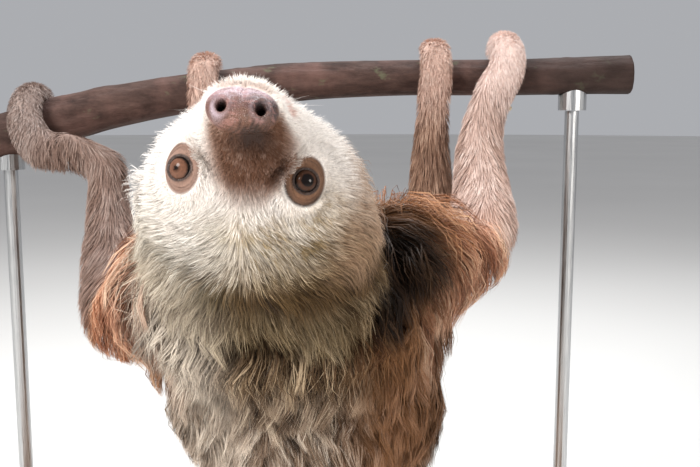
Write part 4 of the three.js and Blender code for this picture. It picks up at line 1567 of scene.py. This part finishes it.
# ---- Branch ----
def branch_place(x):
    return np.stack([x, smooth_through(BRANCH_X, BRANCH_Y, x), smooth_through(BRANCH_X, BRANCH_Z, x)], -1)


def lumps(seed, count, x, turn, size_x, size_turn):
    """Rounded bumps scattered over the bark."""
    rng = np.random.default_rng(seed)
    total = np.zeros(len(x))
    for _ in range(count):
        at_x, at_turn = rng.uniform(-BRANCH_END, BRANCH_END), rng.uniform(0, math.tau)
        around = np.angle(np.exp(1j * (turn - at_turn)))
        total += rng.uniform(0.4, 1.0) * peak(x - at_x, size_x) * peak(around, size_turn)
    return total


def bark_relief(x, turn, height):
    """Ridges that wander along the branch, with knobs on them, all worn low."""
    rng = np.random.default_rng(5)
    relief = np.zeros(len(x))
    for waves, size in ((3, 0.5), (5, 0.4), (9, 0.35), (14, 0.25), (23, 0.18)):
        a, b, c = rng.uniform(0, math.tau, 3)
        slide = 1.2 * np.sin(x * rng.uniform(14, 30) + a) + 0.3 * np.sin(x * rng.uniform(60, 110) + b)
        relief += size * np.sin(waves * turn + slide + c) * (0.6 + 0.4 * np.sin(x * 37 + b))
    relief = relief * height - 0.0006
    relief += 0.0016 * lumps(7, 14, x, turn, 0.010, 0.5) + 0.0007 * lumps(8, 60, x, turn, 0.004, 0.25)
    return np.minimum(relief, 0.0004) + 0.2 * np.maximum(relief - 0.0004, 0)


def make_branch(sizes):
    """A sheet rolled round the branch's middle line, with relief, and closed by a rimmed cut at each end."""
    bm = bmesh.new()
    bmesh.ops.create_grid(bm, x_segments=300, y_segments=64, size=1.0)
    grid = np.array([vertex.co for vertex in bm.verts])
    x = grid[:, 0] * BRANCH_END
    turn = (grid[:, 1] + 1) * math.pi
    turn[turn > math.tau - 1e-6] = 0.0
    radius = smooth_through(BRANCH_RADIUS_X, BRANCH_RADIUS, x) + bark_relief(x, turn, sizes.bark_relief)
    stations = np.linspace(-BRANCH_END, BRANCH_END, 200)
    slopes = np.gradient(smooth_through(BRANCH_X, BRANCH_Z, stations), stations)
    outward = np.stack([-np.interp(x, stations, slopes) * np.sin(turn), np.cos(turn), np.sin(turn)], -1)
    moved_to(bm, branch_place(x) + outward * radius[:, None])
    bmesh.ops.remove_doubles(bm, verts=bm.verts, dist=1e-5)
    wall = set(bm.verts)
    rims = [edge for edge in bm.edges if edge.is_boundary]
    capped = bmesh.ops.holes_fill(bm, edges=rims)["faces"]
    bmesh.ops.inset_individual(bm, faces=capped, thickness=0.0012, depth=0.0)
    bmesh.ops.poke(bm, faces=capped)
    bmesh.ops.triangulate(bm, faces=bm.faces)
    cut = [vertex not in wall for vertex in bm.verts]
    mesh = mesh_of(bm, "bark")
    add_values(mesh, "Cut", cut)
    # painted shade on the bark, deepest towards the right end
    add_values(mesh, "PaintedShade", 0.1 + 0.6 * ramp(0.13, 0.24, points_of(mesh)[:, 0]))
    piece("bark", mesh, bark_finish(), "bark", "branch")


# ---- Display stand ----
def finish_stand():
    materials = {"stand_base": board_finish()}
    steel = steel_finish()
    for name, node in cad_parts.items():
        if name.startswith("stand_"):
            node.data.materials.clear()
            node.data.materials.append(materials.get(name, steel))


# ---- Stage ----
def add_light(name, place, target, size, power, tint):
    light = bpy.data.lights.new(name, "AREA")
    light.shape = "DISK"
    light.size = size
    light.energy = power
    light.color = tint
    lamp = bpy.data.objects.new(name, light)
    lamp.location = place
    lamp.rotation_euler = (Vector(target) - Vector(place)).to_track_quat("-Z", "Y").to_euler()
    bpy.context.scene.collection.objects.link(lamp)


def make_stage(stage):
    scene = bpy.context.scene
    camera_data = bpy.data.cameras.new("camera")
    camera_data.lens = stage.lens
    camera_data.sensor_width = 36
    camera_data.clip_start = 0.01
    camera = bpy.data.objects.new("camera", camera_data)
    camera.location = stage.camera_place
    camera.rotation_euler = (math.radians(90) - stage.camera_pitch, 0, 0)
    scene.collection.objects.link(camera)
    scene.camera = camera
    bm = bmesh.new()
    bmesh.ops.create_circle(bm, cap_ends=True, segments=96, radius=stage.floor_radius)
    floor = bpy.data.objects.new("studio_floor", mesh_of(bm, "studio_floor"))
    floor.data.materials.append(floor_finish())
    scene.collection.objects.link(floor)
    world = bpy.data.worlds.new("studio")
    world.use_nodes = True
    background = world.node_tree.nodes["Background"]
    background.inputs["Color"].default_value = (0.93, 0.95, 1.0, 1)
    background.inputs["Strength"].default_value = stage.sky
    scene.world = world
    middle = (0.0, -0.05, 0.33)
    add_light("key", (-1.3, -1.5, 1.5), middle, 0.9, stage.key, (1.0, 0.97, 0.93))
    add_light("fill", (1.5, -1.2, 0.7), middle, 0.5, stage.fill, (1.0, 0.95, 0.88))
    add_light("top", (0.2, 0.6, 1.7), middle, 1.0, stage.top, (0.95, 0.98, 1.0))
    scene.view_settings.view_transform = "Standard"


# ---- Settings ----
class StageSettings(bpy.types.PropertyGroup):
    lens: FloatProperty(name="Lens", description="Focal length in mm", default=46)
    camera_place: FloatVectorProperty(
        name="Camera", description="Where the camera is",
        default=(0.050, -0.610, 0.425), subtype="TRANSLATION",
    )
    camera_pitch: FloatProperty(
        name="Pitch", description="How far the camera looks down", default=math.radians(8), subtype="ANGLE"
    )
    floor_radius: FloatProperty(
        name="Floor", description="Radius of the studio floor", default=14, unit="LENGTH"
    )
    sky: FloatProperty(
        name="Surrounding light", description="Strength of the pale surroundings", default=0.44
    )
    key: FloatProperty(
        name="Key light", description="Power of the soft main light", default=66, subtype="POWER"
    )
    fill: FloatProperty(
        name="Fill light", description="Power of the light on the right", default=14, subtype="POWER"
    )
    top: FloatProperty(name="Top light", description="Power of the light above", default=30, subtype="POWER")


class EyeSettings(bpy.types.PropertyGroup):
    cornea_bulge: FloatProperty(name="Bulge", description="How far the cornea stands out", default=0.06)
    # painted light: the left iris is lighter than the right one, as lit from the left
    iris_left: FloatVectorProperty(
        name="Left iris", description="Colour of the left iris",
        default=tuple(colour(110, 76, 60)), subtype="COLOR",
    )
    iris_right: FloatVectorProperty(
        name="Right iris", description="Colour of the right iris",
        default=tuple(colour(68, 43, 30)), subtype="COLOR",
    )


class CoatSettings(bpy.types.PropertyGroup):
    fullness: FloatProperty(
        name="Fullness", description="Share of the tufts that grow", default=1.0, min=0.05, max=1.2
    )
    tuft_width: FloatProperty(
        name="Tuft width", description="Width of the tufts against the usual", default=1.0
    )


class BranchSettings(bpy.types.PropertyGroup):
    bark_relief: FloatProperty(
        name="Bark relief", description="Height of the ridges", default=0.0007, unit="LENGTH"
    )


# ---- Operators ----
class SLOTH_OT_stage(bpy.types.Operator):
    """Add the floor, the lights and the camera"""

    bl_idname = "sloth.stage"
    bl_label = "Stage"

    def execute(self, context):
        make_stage(context.scene.sloth_stage)
        return {"FINISHED"}


class SLOTH_OT_skin(bpy.types.Operator):
    """Model the one skin under the coat, with the nose, lids and mouth"""

    bl_idname = "sloth.skin"
    bl_label = "Skin"

    def execute(self, context):
        make_skin()
        return {"FINISHED"}


class SLOTH_OT_eyes(bpy.types.Operator):
    """Model the two eyeballs"""

    bl_idname = "sloth.eyes"
    bl_label = "Eyes"

    def execute(self, context):
        make_eyes(context.scene.sloth_eyes)
        return {"FINISHED"}


class SLOTH_OT_coat(bpy.types.Operator):
    """Grow the coat's tufts over the skin"""

    bl_idname = "sloth.coat"
    bl_label = "Coat"

    def execute(self, context):
        make_coat(context.scene.sloth_coat)
        return {"FINISHED"}


class SLOTH_OT_claws(bpy.types.Operator):
    """Smooth the claws and give them their horn"""

    bl_idname = "sloth.claws"
    bl_label = "Claws"

    def execute(self, context):
        make_claws()
        return {"FINISHED"}


class SLOTH_OT_branch(bpy.types.Operator):
    """Model the cut branch with its bark"""

    bl_idname = "sloth.branch"
    bl_label = "Branch"

    def execute(self, context):
        make_branch(context.scene.sloth_branch)
        return {"FINISHED"}


class SLOTH_OT_stand(bpy.types.Operator):
    """Give the display stand its board and steel"""

    bl_idname = "sloth.stand"
    bl_label = "Stand"

    def execute(self, context):
        finish_stand()
        return {"FINISHED"}


class SLOTH_PT_panel(bpy.types.Panel):
    """The sloth's settings and the steps that build it"""

    bl_idname = "SLOTH_PT_panel"
    bl_label = "Hanging sloth"
    bl_space_type = "VIEW_3D"
    bl_region_type = "UI"
    bl_category = "Sloth"

    def draw(self, context):
        layout = self.layout
        for settings in SETTINGS:
            group = getattr(context.scene, settings)
            for key in group.__annotations__:
                layout.prop(group, key)
        for operator in OPERATORS:
            layout.operator(operator.bl_idname)


SETTINGS = {
    "sloth_stage": StageSettings,
    "sloth_eyes": EyeSettings,
    "sloth_coat": CoatSettings,
    "sloth_branch": BranchSettings,
}
OPERATORS = (
    SLOTH_OT_stage,
    SLOTH_OT_skin,
    SLOTH_OT_eyes,
    SLOTH_OT_coat,
    SLOTH_OT_claws,
    SLOTH_OT_branch,
    SLOTH_OT_stand,
)


def register():
    for group in (*SETTINGS.values(), *OPERATORS, SLOTH_PT_panel):
        bpy.utils.register_class(group)
    for name, group in SETTINGS.items():
        setattr(bpy.types.Scene, name, PointerProperty(type=group))


def unregister():
    for name in SETTINGS:
        delattr(bpy.types.Scene, name)
    for group in reversed((*SETTINGS.values(), *OPERATORS, SLOTH_PT_panel)):
        bpy.utils.unregister_class(group)


def main():
    register()
    bpy.ops.sloth.stage()
    bpy.ops.sloth.skin()
    bpy.ops.sloth.eyes()
    bpy.ops.sloth.coat()
    bpy.ops.sloth.claws()
    bpy.ops.sloth.branch()
    bpy.ops.sloth.stand()


if __name__ == "__main__":
    main()
